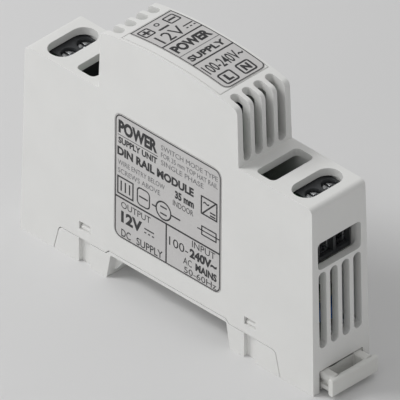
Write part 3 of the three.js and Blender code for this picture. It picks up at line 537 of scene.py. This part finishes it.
def label_edge(left, right, bottom, top, radius):
    """The front label's outline, round only at the input end."""
    rounded = oblong(left, right, bottom, top, radius)
    return [(left, top), *rounded[len(rounded) // 2:], (right, top)]


front_dark = [
    bar(-5.0, 7.3, 5.0, 5.4),
    bar(-5.0, 7.3, -4.6, -4.2),
    box_line(-4.5, -1.3, 10.6, 13.9, 0.5, 0.38),
    bar(-3.95, -1.85, 11.95, 12.55),
    bar(-3.2, -2.6, 11.25, 13.25),
    box_line(3.3, 6.6, 10.6, 13.9, 0.5, 0.38),
    bar(3.9, 6.0, 11.95, 12.55),
    ring_line(1.0, 13.0, 0.7, 0.3),
    bar(-0.4, 2.6, 10.5, 11.1),
    words("12V", -3.5, 3.6, 5.8, 9.5, 0.0),
    *direct_current(4.2, 7.0, 7.4, 0.36),
    words("POWER", -4.2, 6.6, 0.9, 4.0, 0.05),
    words("SUPPLY", -4.2, 6.6, -3.4, -1.4, 0.04),
    outline_mark(label_edge(-5.13, 7.45, -14.85, 14.95, 1.6),
                 label_edge(-4.93, 7.25, -14.65, 14.75, 1.4)),
    words("100-240V~", -4.4, 6.8, -9.3, -6.0, 0.012),
    box_line(-3.9, 0.2, -14.1, -10.3, 0.7, 0.45),
    words("L", -2.6, -0.9, -13.3, -11.1, 0.06),
    box_line(1.6, 5.7, -14.1, -10.3, 0.7, 0.45),
    words("N", 2.7, 4.7, -13.3, -11.1, 0.06),
]
front_grey = [bar(-5.0, 7.3, -0.3, -0.1)]
cut_spacing = 1.4
cuts_each_way = 10
arch_cuts = [step * cut_spacing for step in range(-cuts_each_way, cuts_each_way + 1)]
printed("front_label_print", front_dark, dark_ink, on_front, arch_cuts)
printed("front_label_rule", front_grey, grey_ink, on_front, arch_cuts)

# ---------------------------------------------------------------- base
# The lower tray with both feet, the fixed hook and the rail seat, moulded in the housing's
# plastic; four bumps snap into windows in the hood's long sides.

finished_node("base_frame", "base", housing_white, edge=0.06 * mm,
              join=0.12 * mm)

# ---------------------------------------------------------------- rail latch and its spring
# The sliding latch is moulded in a slightly yellower, tougher acetal; its pull plate sticks
# out of the input end. A wire spring in its slot pushes the nose under the rail.

latch_acetal = moulded_plastic("latch_acetal", (0.76, 0.76, 0.735), (0.72, 0.72, 0.695),
                               0.5 * mm, 0.004 * mm, 0.38)
finished_node("rail_latch", "din_clip", latch_acetal, "rail_clip",
              edge=0.2 * mm, steps=3)

# The spring is wound from hard-drawn wire with its end turns closed; it lies between the
# latch and the fixed post behind it.


def new_tree(name, sizes):
    """A Geometry Nodes tree with a named input for each size; whole numbers stay whole."""
    tree = bpy.data.node_groups.new(name, "GeometryNodeTree")
    tree.interface.new_socket("Geometry", in_out="OUTPUT", socket_type="NodeSocketGeometry")
    tree.interface.new_socket("Geometry", in_out="INPUT", socket_type="NodeSocketGeometry")
    for label, value in sizes.items():
        kind = "NodeSocketInt" if isinstance(value, int) else "NodeSocketFloat"
        socket = tree.interface.new_socket(label, in_out="INPUT", socket_type=kind)
        socket.default_value = value
    tree.interface.new_socket("Finish", in_out="INPUT", socket_type="NodeSocketMaterial")
    return tree, tree.nodes.new("NodeGroupInput").outputs


def close_tree(tree, given, geometry):
    """The tree's last steps: real geometry with its material."""
    real = place(tree, "GeometryNodeRealizeInstances", {"Geometry": geometry})
    painted = place(tree, "GeometryNodeSetMaterial", {"Geometry": real.outputs["Geometry"],
                                                      "Material": given["Finish"]})
    place(tree, "NodeGroupOutput", {"Geometry": painted.outputs["Geometry"]})


def made_by(tree, sizes, finish, start=None):
    """The plain mesh that the tree makes with these sizes."""
    blank = start if start is not None else bpy.data.meshes.new("blank")
    maker = bpy.data.objects.new("maker", blank)
    bpy.context.scene.collection.objects.link(maker)
    modifier = maker.modifiers.new("maker", "NODES")
    modifier.node_group = tree
    values = dict(sizes, Finish=finish)
    for item in tree.interface.items_tree:
        if item.in_out == "INPUT" and item.name in values:
            modifier[item.identifier] = values[item.name]
    depsgraph = bpy.context.evaluated_depsgraph_get()
    mesh = bpy.data.meshes.new_from_object(maker.evaluated_get(depsgraph))
    bpy.data.objects.remove(maker)
    return mesh


def worked(tree, operation, *values, **settings):
    """The result of one step of arithmetic."""
    node = place(tree, "ShaderNodeMath", dict(enumerate(values)), operation=operation, **settings)
    return node.outputs[0]


def along_helix(tree, radius, turns, advance, points_per_turn):
    """A helix about X; advance(turn) gives how far along X it is after that many turns."""
    count = worked(tree, "MULTIPLY", turns, points_per_turn)
    line = place(tree, "GeometryNodeCurvePrimitiveLine")
    fine = place(tree, "GeometryNodeResampleCurve", {"Curve": line.outputs["Curve"],
                                                     "Count": count})
    share = place(tree, "GeometryNodeSplineParameter").outputs["Factor"]
    turn = worked(tree, "MULTIPLY", share, turns)
    angle = worked(tree, "MULTIPLY", turn, 2 * math.pi)
    spot = place(tree, "ShaderNodeCombineXYZ", {
        "X": advance(turn),
        "Y": worked(tree, "MULTIPLY", worked(tree, "COSINE", angle), radius),
        "Z": worked(tree, "MULTIPLY", worked(tree, "SINE", angle), radius),
    })
    return place(tree, "GeometryNodeSetPosition", {"Geometry": fine.outputs["Curve"],
                                                   "Position": spot.outputs["Vector"]})


def swept_wire(tree, path, radius, sides):
    """Round wire along a path, closed at both ends."""
    section = place(tree, "GeometryNodeCurvePrimitiveCircle", {"Resolution": sides,
                                                               "Radius": radius})
    return place(tree, "GeometryNodeCurveToMesh", {
        "Curve": path, "Profile Curve": section.outputs["Curve"], "Fill Caps": True,
    }).outputs["Mesh"]


spring_sizes = {"Radius": 1.45 * mm, "Wire": 0.5 * mm, "Length": 11.0 * mm, "Turns": 8.5}
spring_tree, given = new_tree("coil_spring", spring_sizes)


def closed_ends(turn):
    """Two closed end turns, with the rest spread evenly between them."""
    closed = 1.1
    late = worked(spring_tree, "SUBTRACT", given["Turns"], closed)
    open_length = worked(spring_tree, "SUBTRACT", given["Length"],
                         worked(spring_tree, "MULTIPLY", given["Wire"], 2 * closed))
    end_rise = worked(spring_tree, "MULTIPLY", given["Wire"], closed)
    parts = [(0.0, closed, end_rise), (closed, late, open_length), (late, given["Turns"], end_rise)]
    rises = [place(spring_tree, "ShaderNodeMapRange", {
        "Value": turn, "From Min": first, "From Max": last, "To Min": 0.0, "To Max": rise,
    }).outputs["Result"] for first, last, rise in parts]
    return worked(spring_tree, "ADD", worked(spring_tree, "ADD", rises[0], rises[1]), rises[2])


spring_path = along_helix(spring_tree, given["Radius"], given["Turns"], closed_ends, 18)
spring_wire_radius = worked(spring_tree, "MULTIPLY", given["Wire"], 0.5)
close_tree(spring_tree, given, swept_wire(spring_tree, spring_path.outputs["Geometry"],
                                          spring_wire_radius, 8))


def plated_metal(name, colour, shade, roughness, scratch):
    """A bright plated metal with faint clouding and drawn or rolled marks."""
    material, tree, shader, spot = new_finish(name)
    shader.inputs["Metallic"].default_value = 1
    tree.links.new(mottled(tree, spot, 1.2 * mm, shade, colour), shader.inputs["Base Color"])
    tree.links.new(mottled(tree, spot, 0.5 * mm, roughness - 0.08, roughness + 0.08),
                   shader.inputs["Roughness"])
    tree.links.new(textured_relief(tree, spot, scratch, 0.004 * mm), shader.inputs["Normal"])
    return material


spring_steel = plated_metal("spring_steel", (0.55, 0.56, 0.58), (0.42, 0.43, 0.45), 0.32,
                            0.2 * mm)
spring_low, spring_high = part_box("clip_spring")
spring_mesh = made_by(spring_tree, spring_sizes, spring_steel)
spring_mesh.shade_smooth()
spring_mesh.transform(Matrix.Translation((
    spring_low.x + spring_sizes["Wire"] / 2, 0, (spring_low.z + spring_high.z) / 2)))
latch_spring = bpy.data.objects.new("latch_spring", spring_mesh)
bpy.context.scene.collection.objects.link(latch_spring)
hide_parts("clip_spring")
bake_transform(latch_spring)

# ---------------------------------------------------------------- terminals
# Each end has one dark block of filled polyamide with two clamps: a plated screw, a rising
# cage that lifts the wire, and a tinned contact tag that leads into the board.

block_polyamide = moulded_plastic("block_polyamide", (0.045, 0.047, 0.05), (0.03, 0.032, 0.035),
                                  0.6 * mm, 0.008 * mm, 0.45)

zinc_plate = plated_metal("zinc_plate", (0.80, 0.81, 0.82), (0.68, 0.69, 0.71), 0.3, 0.3 * mm)
tin_plate = plated_metal("tin_plate", (0.74, 0.74, 0.73), (0.62, 0.62, 0.61), 0.4, 0.4 * mm)

thread_sizes = {"Radius": 1.12 * mm, "Length": 5.6 * mm, "Pitch": 0.45 * mm, "Depth": 0.17 * mm,
                "Cross length": 2.5 * mm, "Cross width": 0.55 * mm, "Cross depth": 0.75 * mm}
screw_head_top = 7.6 * mm
screw_tree, given = new_tree("terminal_screw", thread_sizes)
thread_turns = worked(screw_tree, "DIVIDE", given["Length"], given["Pitch"])
thread_path = along_helix(screw_tree, given["Radius"], thread_turns,
                          lambda turn: worked(screw_tree, "MULTIPLY", turn, given["Pitch"]), 16)
thread = swept_wire(screw_tree, thread_path.outputs["Geometry"], given["Depth"], 4)
cross = place(screw_tree, "ShaderNodeCombineXYZ", {
    "X": worked(screw_tree, "MULTIPLY", given["Cross depth"], 2),
    "Y": given["Cross length"], "Z": given["Cross width"]})
cross_cutter = place(screw_tree, "GeometryNodeMeshCube", {"Size": cross.outputs["Vector"]})
cross_place = place(screw_tree, "ShaderNodeCombineXYZ", {"X": screw_head_top})
cutter = place(screw_tree, "GeometryNodeTransform", {
    "Geometry": cross_cutter.outputs["Mesh"], "Translation": cross_place.outputs["Vector"]})
driven = place(screw_tree, "GeometryNodeMeshBoolean", {
    "Mesh 1": given["Geometry"], "Mesh 2": cutter.outputs["Geometry"]}, operation="DIFFERENCE")
both = place(screw_tree, "GeometryNodeJoinGeometry")
screw_tree.links.new(driven.outputs["Mesh"], both.inputs["Geometry"])
screw_tree.links.new(thread, both.inputs["Geometry"])
close_tree(screw_tree, given, both.outputs["Geometry"])


def stood_blank(node, edge):
    """The node's clean mesh with its axis along X and its tip at the origin."""
    low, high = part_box(node)
    tip = Vector(((low.x + high.x) / 2, (low.y + high.y) / 2, low.z))
    turned = Matrix.Rotation(math.radians(90), 4, "Y")
    blank = machined_copy(node, edge, 2)
    blank.transform(turned @ Matrix.Translation(-tip))
    return blank, Matrix.Translation(tip) @ turned.inverted()


for end in ("input", "output"):
    finished_node(f"{end}_block", f"{end}_terminal_block", block_polyamide,
                  edge=0.15 * mm)
    for number in (1, 2):
        pole = f"{end}_pole_{number}"
        blank, back = stood_blank(f"{pole}_screw", 0.06 * mm)
        screw_mesh = made_by(screw_tree, thread_sizes, zinc_plate, blank)
        screw_mesh.transform(back)
        screw_mesh.shade_smooth()
        screw_mesh.set_sharp_from_angle(angle=math.radians(35))
        screw = own_piece(f"{pole}_terminal_screw", screw_mesh, zinc_plate,
                          f"{pole}_screw")
        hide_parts(f"{pole}_screw")
        finished_node(f"{pole}_clamp_cage", f"{pole}_cage", zinc_plate,
                      f"{pole}_cage", edge=0.12 * mm)
        finished_node(f"{pole}_contact_tag", f"{pole}_tag", tin_plate,
                      edge=0.08 * mm)

# ---------------------------------------------------------------- circuit board
# A single glass-epoxy board stands on edge against the near wall. Its copper side, with the
# solder joints, faces that wall; green solder resist covers both faces.


def board_resist():
    """Green resist over copper runs, which show as slightly lighter bands."""
    material, tree, shader, spot = new_finish("board_resist")
    run_pitch = 2.4 * mm
    bands = place(tree, "ShaderNodeTexWave", {"Vector": spot, "Scale": math.pi / 10 / run_pitch},
                  wave_type="BANDS", bands_direction="Z")
    edge = place(tree, "ShaderNodeMapRange", {"Value": bands.outputs["Fac"],
                                              "From Min": 0.24, "From Max": 0.3})
    cloud = mottled(tree, spot, 6 * mm, (0.012, 0.10, 0.035), (0.016, 0.13, 0.045))
    copper = place(tree, "ShaderNodeMixRGB", {"Fac": edge.outputs["Result"], "Color1": cloud,
                                              "Color2": (0.03, 0.19, 0.07, 1)})
    tree.links.new(copper.outputs["Color"], shader.inputs["Base Color"])
    tree.links.new(mottled(tree, spot, 1 * mm, 0.22, 0.34), shader.inputs["Roughness"])
    bump = place(tree, "ShaderNodeBump", {"Height": edge.outputs["Result"], "Distance": 0.03 * mm})
    tree.links.new(bump.outputs["Normal"], shader.inputs["Normal"])
    return material


finished_node("board", "circuit_board", board_resist(), edge=0)


def lead_points():
    """The middle of each small hole on the board's copper side."""
    largest_wall, fewest_walls, widest_hole = 3e-6, 6, 2 * mm
    shape = bmesh.new()
    shape.from_mesh(bpy.data.objects["board"].data)
    walls = {face for face in shape.faces
             if abs(face.normal.y) < 0.1 and face.calc_area() < largest_wall}
    centres = []
    while walls:
        group = [walls.pop()]
        for face in group:
            near = {other for edge in face.edges for other in edge.link_faces} & walls
            walls -= near
            group.extend(near)
        corners = [vertex.co for face in group for vertex in face.verts]
        low = Vector([min(c[i] for c in corners) for i in range(3)])
        high = Vector([max(c[i] for c in corners) for i in range(3)])
        if len(group) >= fewest_walls and max(high.x - low.x, high.z - low.z) < widest_hole:
            centres.append(((low.x + high.x) / 2, low.y, (low.z + high.z) / 2))
    shape.free()
    points = bpy.data.meshes.new("lead_points")
    points.from_pydata(sorted(centres), [], [])
    return points


solder_sizes = {"Foot": 1.0 * mm, "Tip": 0.36 * mm, "Height": 0.5 * mm}
solder_tree, given = new_tree("solder_joints", solder_sizes)
cone = place(solder_tree, "GeometryNodeMeshCone", {
    "Vertices": 10, "Side Segments": 2, "Radius Top": given["Tip"], "Radius Bottom": given["Foot"],
    "Depth": given["Height"]})
turn_over = place(solder_tree, "FunctionNodeEulerToRotation",
                  {"Euler": (math.radians(90), 0, 0)})
joints = place(solder_tree, "GeometryNodeInstanceOnPoints", {
    "Points": given["Geometry"], "Instance": cone.outputs["Mesh"],
    "Rotation": turn_over.outputs["Rotation"]})
close_tree(solder_tree, given, joints.outputs["Instances"])
solder_alloy = plated_metal("solder_alloy", (0.72, 0.72, 0.72), (0.6, 0.6, 0.6), 0.25, 0.6 * mm)
solder_mesh = made_by(solder_tree, solder_sizes, solder_alloy, lead_points())
solder_mesh.shade_smooth()
own_piece("solder", solder_mesh, solder_alloy, "housing")

# ---------------------------------------------------------------- parts on the board
# Each part is a bought component with tinned leads that pass through the board. They stand
# between the board and the far wall, which the tallest of them nearly reach.


def repaint(piece, finish, chosen):
    """Gives the faces whose middle is chosen another finish."""
    piece.data.materials.append(finish)
    number = len(piece.data.materials) - 1
    for polygon in piece.data.polygons:
        if chosen(polygon.center / mm):
            polygon.material_index = number


lead_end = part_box("circuit_board")[1].y / mm + 0.22


def component(name, node, finish, edge=0.15 * mm):
    """A component in its own finish, with tinned leads."""
    piece = finished_node(name, node, finish, edge=edge, sharp=65)
    repaint(piece, tin_plate, lambda spot: spot.y < lead_end)
    return piece


def lacquer(name, colour, shade, roughness, waviness):
    """A dipped, sleeved or taped outside, glossier than moulded plastic."""
    material, tree, shader, spot = new_finish(name)
    tree.links.new(mottled(tree, spot, 2 * mm, shade, colour), shader.inputs["Base Color"])
    tree.links.new(textured_relief(tree, spot, waviness, 0.02 * mm), shader.inputs["Normal"])
    tree.links.new(mottled(tree, spot, 1.5 * mm, roughness - 0.05, roughness + 0.05),
                   shader.inputs["Roughness"])
    shader.inputs["Coat Weight"].default_value = 0.3
    return material


sleeve = lacquer("capacitor_sleeve", (0.02, 0.025, 0.05), (0.015, 0.018, 0.04), 0.3, 1.2 * mm)
bare_aluminium = plated_metal("bare_aluminium", (0.8, 0.8, 0.81), (0.7, 0.7, 0.71), 0.35,
                              0.25 * mm)
film_case = moulded_plastic("film_case", (0.62, 0.45, 0.04), (0.55, 0.40, 0.035), 0.5 * mm,
                            0.008 * mm, 0.4)
resin = moulded_plastic("moulded_resin", (0.02, 0.02, 0.022), (0.03, 0.03, 0.032), 0.25 * mm,
                        0.008 * mm, 0.5)
blue_coating = lacquer("blue_coating", (0.02, 0.10, 0.36), (0.015, 0.08, 0.30), 0.25, 0.9 * mm)
dark_coating = lacquer("dark_coating", (0.03, 0.05, 0.03), (0.02, 0.035, 0.02), 0.35, 0.7 * mm)
ferrite = moulded_plastic("ferrite", (0.045, 0.045, 0.048), (0.03, 0.03, 0.033), 0.3 * mm,
                          0.01 * mm, 0.6)
bobbin_plastic = moulded_plastic("bobbin_plastic", (0.02, 0.02, 0.02), (0.03, 0.03, 0.03),
                                 0.4 * mm, 0.006 * mm, 0.45)
polyester_tape = lacquer("polyester_tape", (0.70, 0.44, 0.03), (0.62, 0.38, 0.025), 0.3,
                         1.8 * mm)

can_top = 6.35
bulk_top, bulk_lead_start = -9.9, 10.1
for number in (1, 2, 3):
    name = f"output_capacitor_{number}"
    can = component(f"{name}_can", name, sleeve, 0)
    repaint(can, bare_aluminium, lambda spot: spot.y > can_top)
bulk = component("bulk_capacitor_can", "bulk_capacitor", sleeve, 0)
repaint(bulk, bare_aluminium, lambda spot: spot.x < bulk_top)
repaint(bulk, tin_plate, lambda spot: spot.x > bulk_lead_start)
component("suppression_capacitor", "x_capacitor", film_case)
component("rectifier_bridge", "bridge_rectifier", resin)
component("feedback_coupler", "optocoupler", resin)
component("control_chip", "control_ic", resin)
component("surge_disc", "varistor", blue_coating, 0.5 * mm)
component("inrush_disc", "inrush_thermistor", dark_coating, 0.4 * mm)
component("class_y_disc", "safety_capacitor", blue_coating, 0.5 * mm)


def fuse_glass():
    """Clear thin glass over the fuse wire."""
    material, tree, shader, spot = new_finish("fuse_glass")
    tree.links.new(mottled(tree, spot, 2 * mm, (0.86, 0.88, 0.87), (0.92, 0.93, 0.93)),
                   shader.inputs["Base Color"])
    shader.inputs["Roughness"].default_value = 0.05
    shader.inputs["Transmission Weight"].default_value = 0.8
    return material


glass_start, glass_stop = 33.9, 38.9
fuse = component("glass_fuse", "fuse", fuse_glass(), 0)
repaint(fuse, zinc_plate,
        lambda spot: spot.y > lead_end and not glass_start < spot.x < glass_stop)

# The transformer: two ferrite halves round a wound bobbin, held together by tape. Its winding
# is laid in layers of turns, and so is the winding of the output inductor.

turn_sizes = {"Width": 8.2 * mm, "Height": 10.4 * mm, "Corner": 1.9 * mm, "Wire": 0.32 * mm,
              "Turns": 23}
layer_tree, given = new_tree("layer_of_turns", turn_sizes)
loop = place(layer_tree, "GeometryNodeCurvePrimitiveQuadrilateral", {
    "Width": given["Width"], "Height": given["Height"]})
round_loop = place(layer_tree, "GeometryNodeFilletCurve", {
    "Curve": loop.outputs["Curve"], "Radius": given["Corner"], "Count": 5}, mode="POLY")
one_turn = swept_wire(layer_tree, round_loop.outputs["Curve"],
                      worked(layer_tree, "MULTIPLY", given["Wire"], 0.5), 6)
step_up = place(layer_tree, "ShaderNodeCombineXYZ", {"Z": given["Wire"]})
row = place(layer_tree, "GeometryNodeMeshLine", {"Count": given["Turns"],
                                                 "Offset": step_up.outputs["Vector"]})
layer = place(layer_tree, "GeometryNodeInstanceOnPoints", {"Points": row.outputs["Mesh"],
                                                           "Instance": one_turn})
close_tree(layer_tree, given, layer.outputs["Instances"])


def copper_wire(name, colour, shade):
    """Enamelled wire: copper under a clear varnish."""
    material, tree, shader, spot = new_finish(name)
    shader.inputs["Metallic"].default_value = 0.85
    tree.links.new(mottled(tree, spot, 0.9 * mm, shade, colour), shader.inputs["Base Color"])
    tree.links.new(mottled(tree, spot, 0.4 * mm, 0.22, 0.34), shader.inputs["Roughness"])
    shader.inputs["Coat Weight"].default_value = 0.6
    return material


enamelled = copper_wire("enamelled_copper", (0.62, 0.24, 0.09), (0.48, 0.17, 0.06))
finished_node("core_half_output", "transformer_core_output", ferrite)
finished_node("core_half_input", "transformer_core_input", ferrite)
component("wound_bobbin", "transformer_bobbin", bobbin_plastic, 0.1 * mm)
finished_node("core_tape", "transformer_tape", polyester_tape, edge=0.04 * mm)


def laid_turns(name, node, sizes, turn):
    """A layer of turns over a plain inner winding, as one piece in place of the node."""
    low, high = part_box(node)
    middle = (low + high) / 2
    layer_mesh = made_by(layer_tree, sizes, enamelled)
    stack = sizes["Wire"] * (sizes["Turns"] - 1)
    layer_mesh.transform(Matrix.Translation(middle) @ turn
                         @ Matrix.Translation((0, 0, -stack / 2)))
    shape = bmesh.new()
    shape.from_mesh(layer_mesh)
    inner = machined_copy(node, 0, 0)
    shrink = 1 - 1.6 * sizes["Wire"] / (high - low).length
    inner.transform(Matrix.Translation(middle) @ Matrix.Scale(shrink, 4)
                    @ Matrix.Translation(-middle))
    shape.from_mesh(inner)
    mesh = bpy.data.meshes.new(name)
    shape.to_mesh(mesh)
    shape.free()
    mesh.shade_smooth()
    mesh.set_sharp_from_angle(angle=math.radians(40))
    piece = own_piece(name, mesh, enamelled, "housing")
    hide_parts(node)


along_module = (Matrix.Rotation(math.radians(90), 4, "Y")
                @ Matrix.Rotation(math.radians(90), 4, "Z"))
laid_turns("transformer_turns", "transformer_winding",
           dict(turn_sizes, Width=7.7 * mm, Height=10.1 * mm), along_module)
upright_on_board = Matrix.Rotation(math.radians(90), 4, "X")
finished_node("inductor_drum", "output_inductor_core", ferrite, edge=0.15 * mm)
laid_turns("inductor_turns", "output_inductor_winding",
           dict(turn_sizes, Width=6.7 * mm, Height=6.7 * mm, Corner=3.3 * mm, Wire=0.45 * mm,
                Turns=11), upright_on_board)

# The mains choke: a coated ferrite ring with one winding of thick wire on each half.

choke_sizes = {"Ring": 3.6 * mm, "Across": 2.55 * mm, "Deep": 4.5 * mm, "Wire": 0.52 * mm,
               "Turns": 9, "First": -60.0, "Last": 60.0}
choke_tree, given = new_tree("ring_winding", choke_sizes)
loop = place(choke_tree, "GeometryNodeCurvePrimitiveQuadrilateral", {
    "Width": given["Across"], "Height": given["Deep"]})
round_loop = place(choke_tree, "GeometryNodeFilletCurve", {
    "Curve": loop.outputs["Curve"], "Radius": given["Wire"],
    "Count": 4}, mode="POLY")
one_turn = swept_wire(choke_tree, round_loop.outputs["Curve"],
                      worked(choke_tree, "MULTIPLY", given["Wire"], 0.5), 8)
out_to_ring = place(choke_tree, "ShaderNodeCombineXYZ", {"X": given["Ring"]})
stood = place(choke_tree, "GeometryNodeTransform", {
    "Geometry": one_turn, "Translation": out_to_ring.outputs["Vector"],
    "Rotation": (math.radians(90), 0, 0)})
spots = place(choke_tree, "GeometryNodeMeshLine", {"Count": given["Turns"],
                                                   "Offset": (0, 0, 0)})
order = place(choke_tree, "GeometryNodeInputIndex").outputs["Index"]
last_order = worked(choke_tree, "SUBTRACT", given["Turns"], 1)
turn_angle = place(choke_tree, "ShaderNodeMapRange", {
    "Value": order, "From Max": last_order, "To Min": given["First"], "To Max": given["Last"]})
turned = place(choke_tree, "ShaderNodeCombineXYZ", {
    "Z": worked(choke_tree, "RADIANS", turn_angle.outputs["Result"])})
turning = place(choke_tree, "FunctionNodeEulerToRotation", {"Euler": turned.outputs["Vector"]})
winding = place(choke_tree, "GeometryNodeInstanceOnPoints", {
    "Points": spots.outputs["Mesh"], "Instance": stood.outputs["Geometry"],
    "Rotation": turning.outputs["Rotation"]})
close_tree(choke_tree, given, winding.outputs["Instances"])

finished_node("choke_ring", "choke_core", ferrite, edge=0.15 * mm)
choke_low, choke_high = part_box("choke_core")
choke_middle = (choke_low + choke_high) / 2


def wound_half(name, node, first, last):
    """One winding with its leads, which run straight down into the board."""
    mesh = made_by(choke_tree, dict(choke_sizes, First=first, Last=last), enamelled)
    mesh.transform(Matrix.Translation(choke_middle) @ Matrix.Rotation(math.radians(90), 4, "X"))
    low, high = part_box(node)
    shape = bmesh.new()
    shape.from_mesh(mesh)
    blank = bmesh.new()
    blank.from_mesh(machined_copy(node, 0, 0))
    top = choke_low.y - 0.2 * mm
    everything = blank.verts[:] + blank.edges[:] + blank.faces[:]
    cut = bmesh.ops.bisect_plane(blank, geom=everything, plane_co=(0, top, 0), plane_no=(0, 1, 0),
                                 clear_outer=True)
    rim = [item for item in cut["geom_cut"] if isinstance(item, bmesh.types.BMEdge)]
    bmesh.ops.holes_fill(blank, edges=rim)
    leads = bpy.data.meshes.new("leads")
    blank.to_mesh(leads)
    blank.free()
    shape.from_mesh(leads)
    shape.to_mesh(mesh)
    shape.free()
    mesh.shade_smooth()
    mesh.set_sharp_from_angle(angle=math.radians(40))
    piece = own_piece(name, mesh, enamelled, "housing")
    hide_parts(node)


wound_half("choke_turns_line", "choke_winding_line", 125.0, 235.0)
wound_half("choke_turns_neutral", "choke_winding_neutral", -55.0, 55.0)

# Each power semiconductor is screwed to an upright aluminium sheet that carries off its heat.

for device in ("output_rectifier", "switching_transistor"):
    component(f"{device}_package", device, resin, 0.2 * mm)
    component(f"{device}_cooling_plate", f"{device}_heat_sink", bare_aluminium,
              0.1 * mm)
    finished_node(f"{device}_fixing_screw", f"{device}_screw", zinc_plate,
                  edge=0.1 * mm)
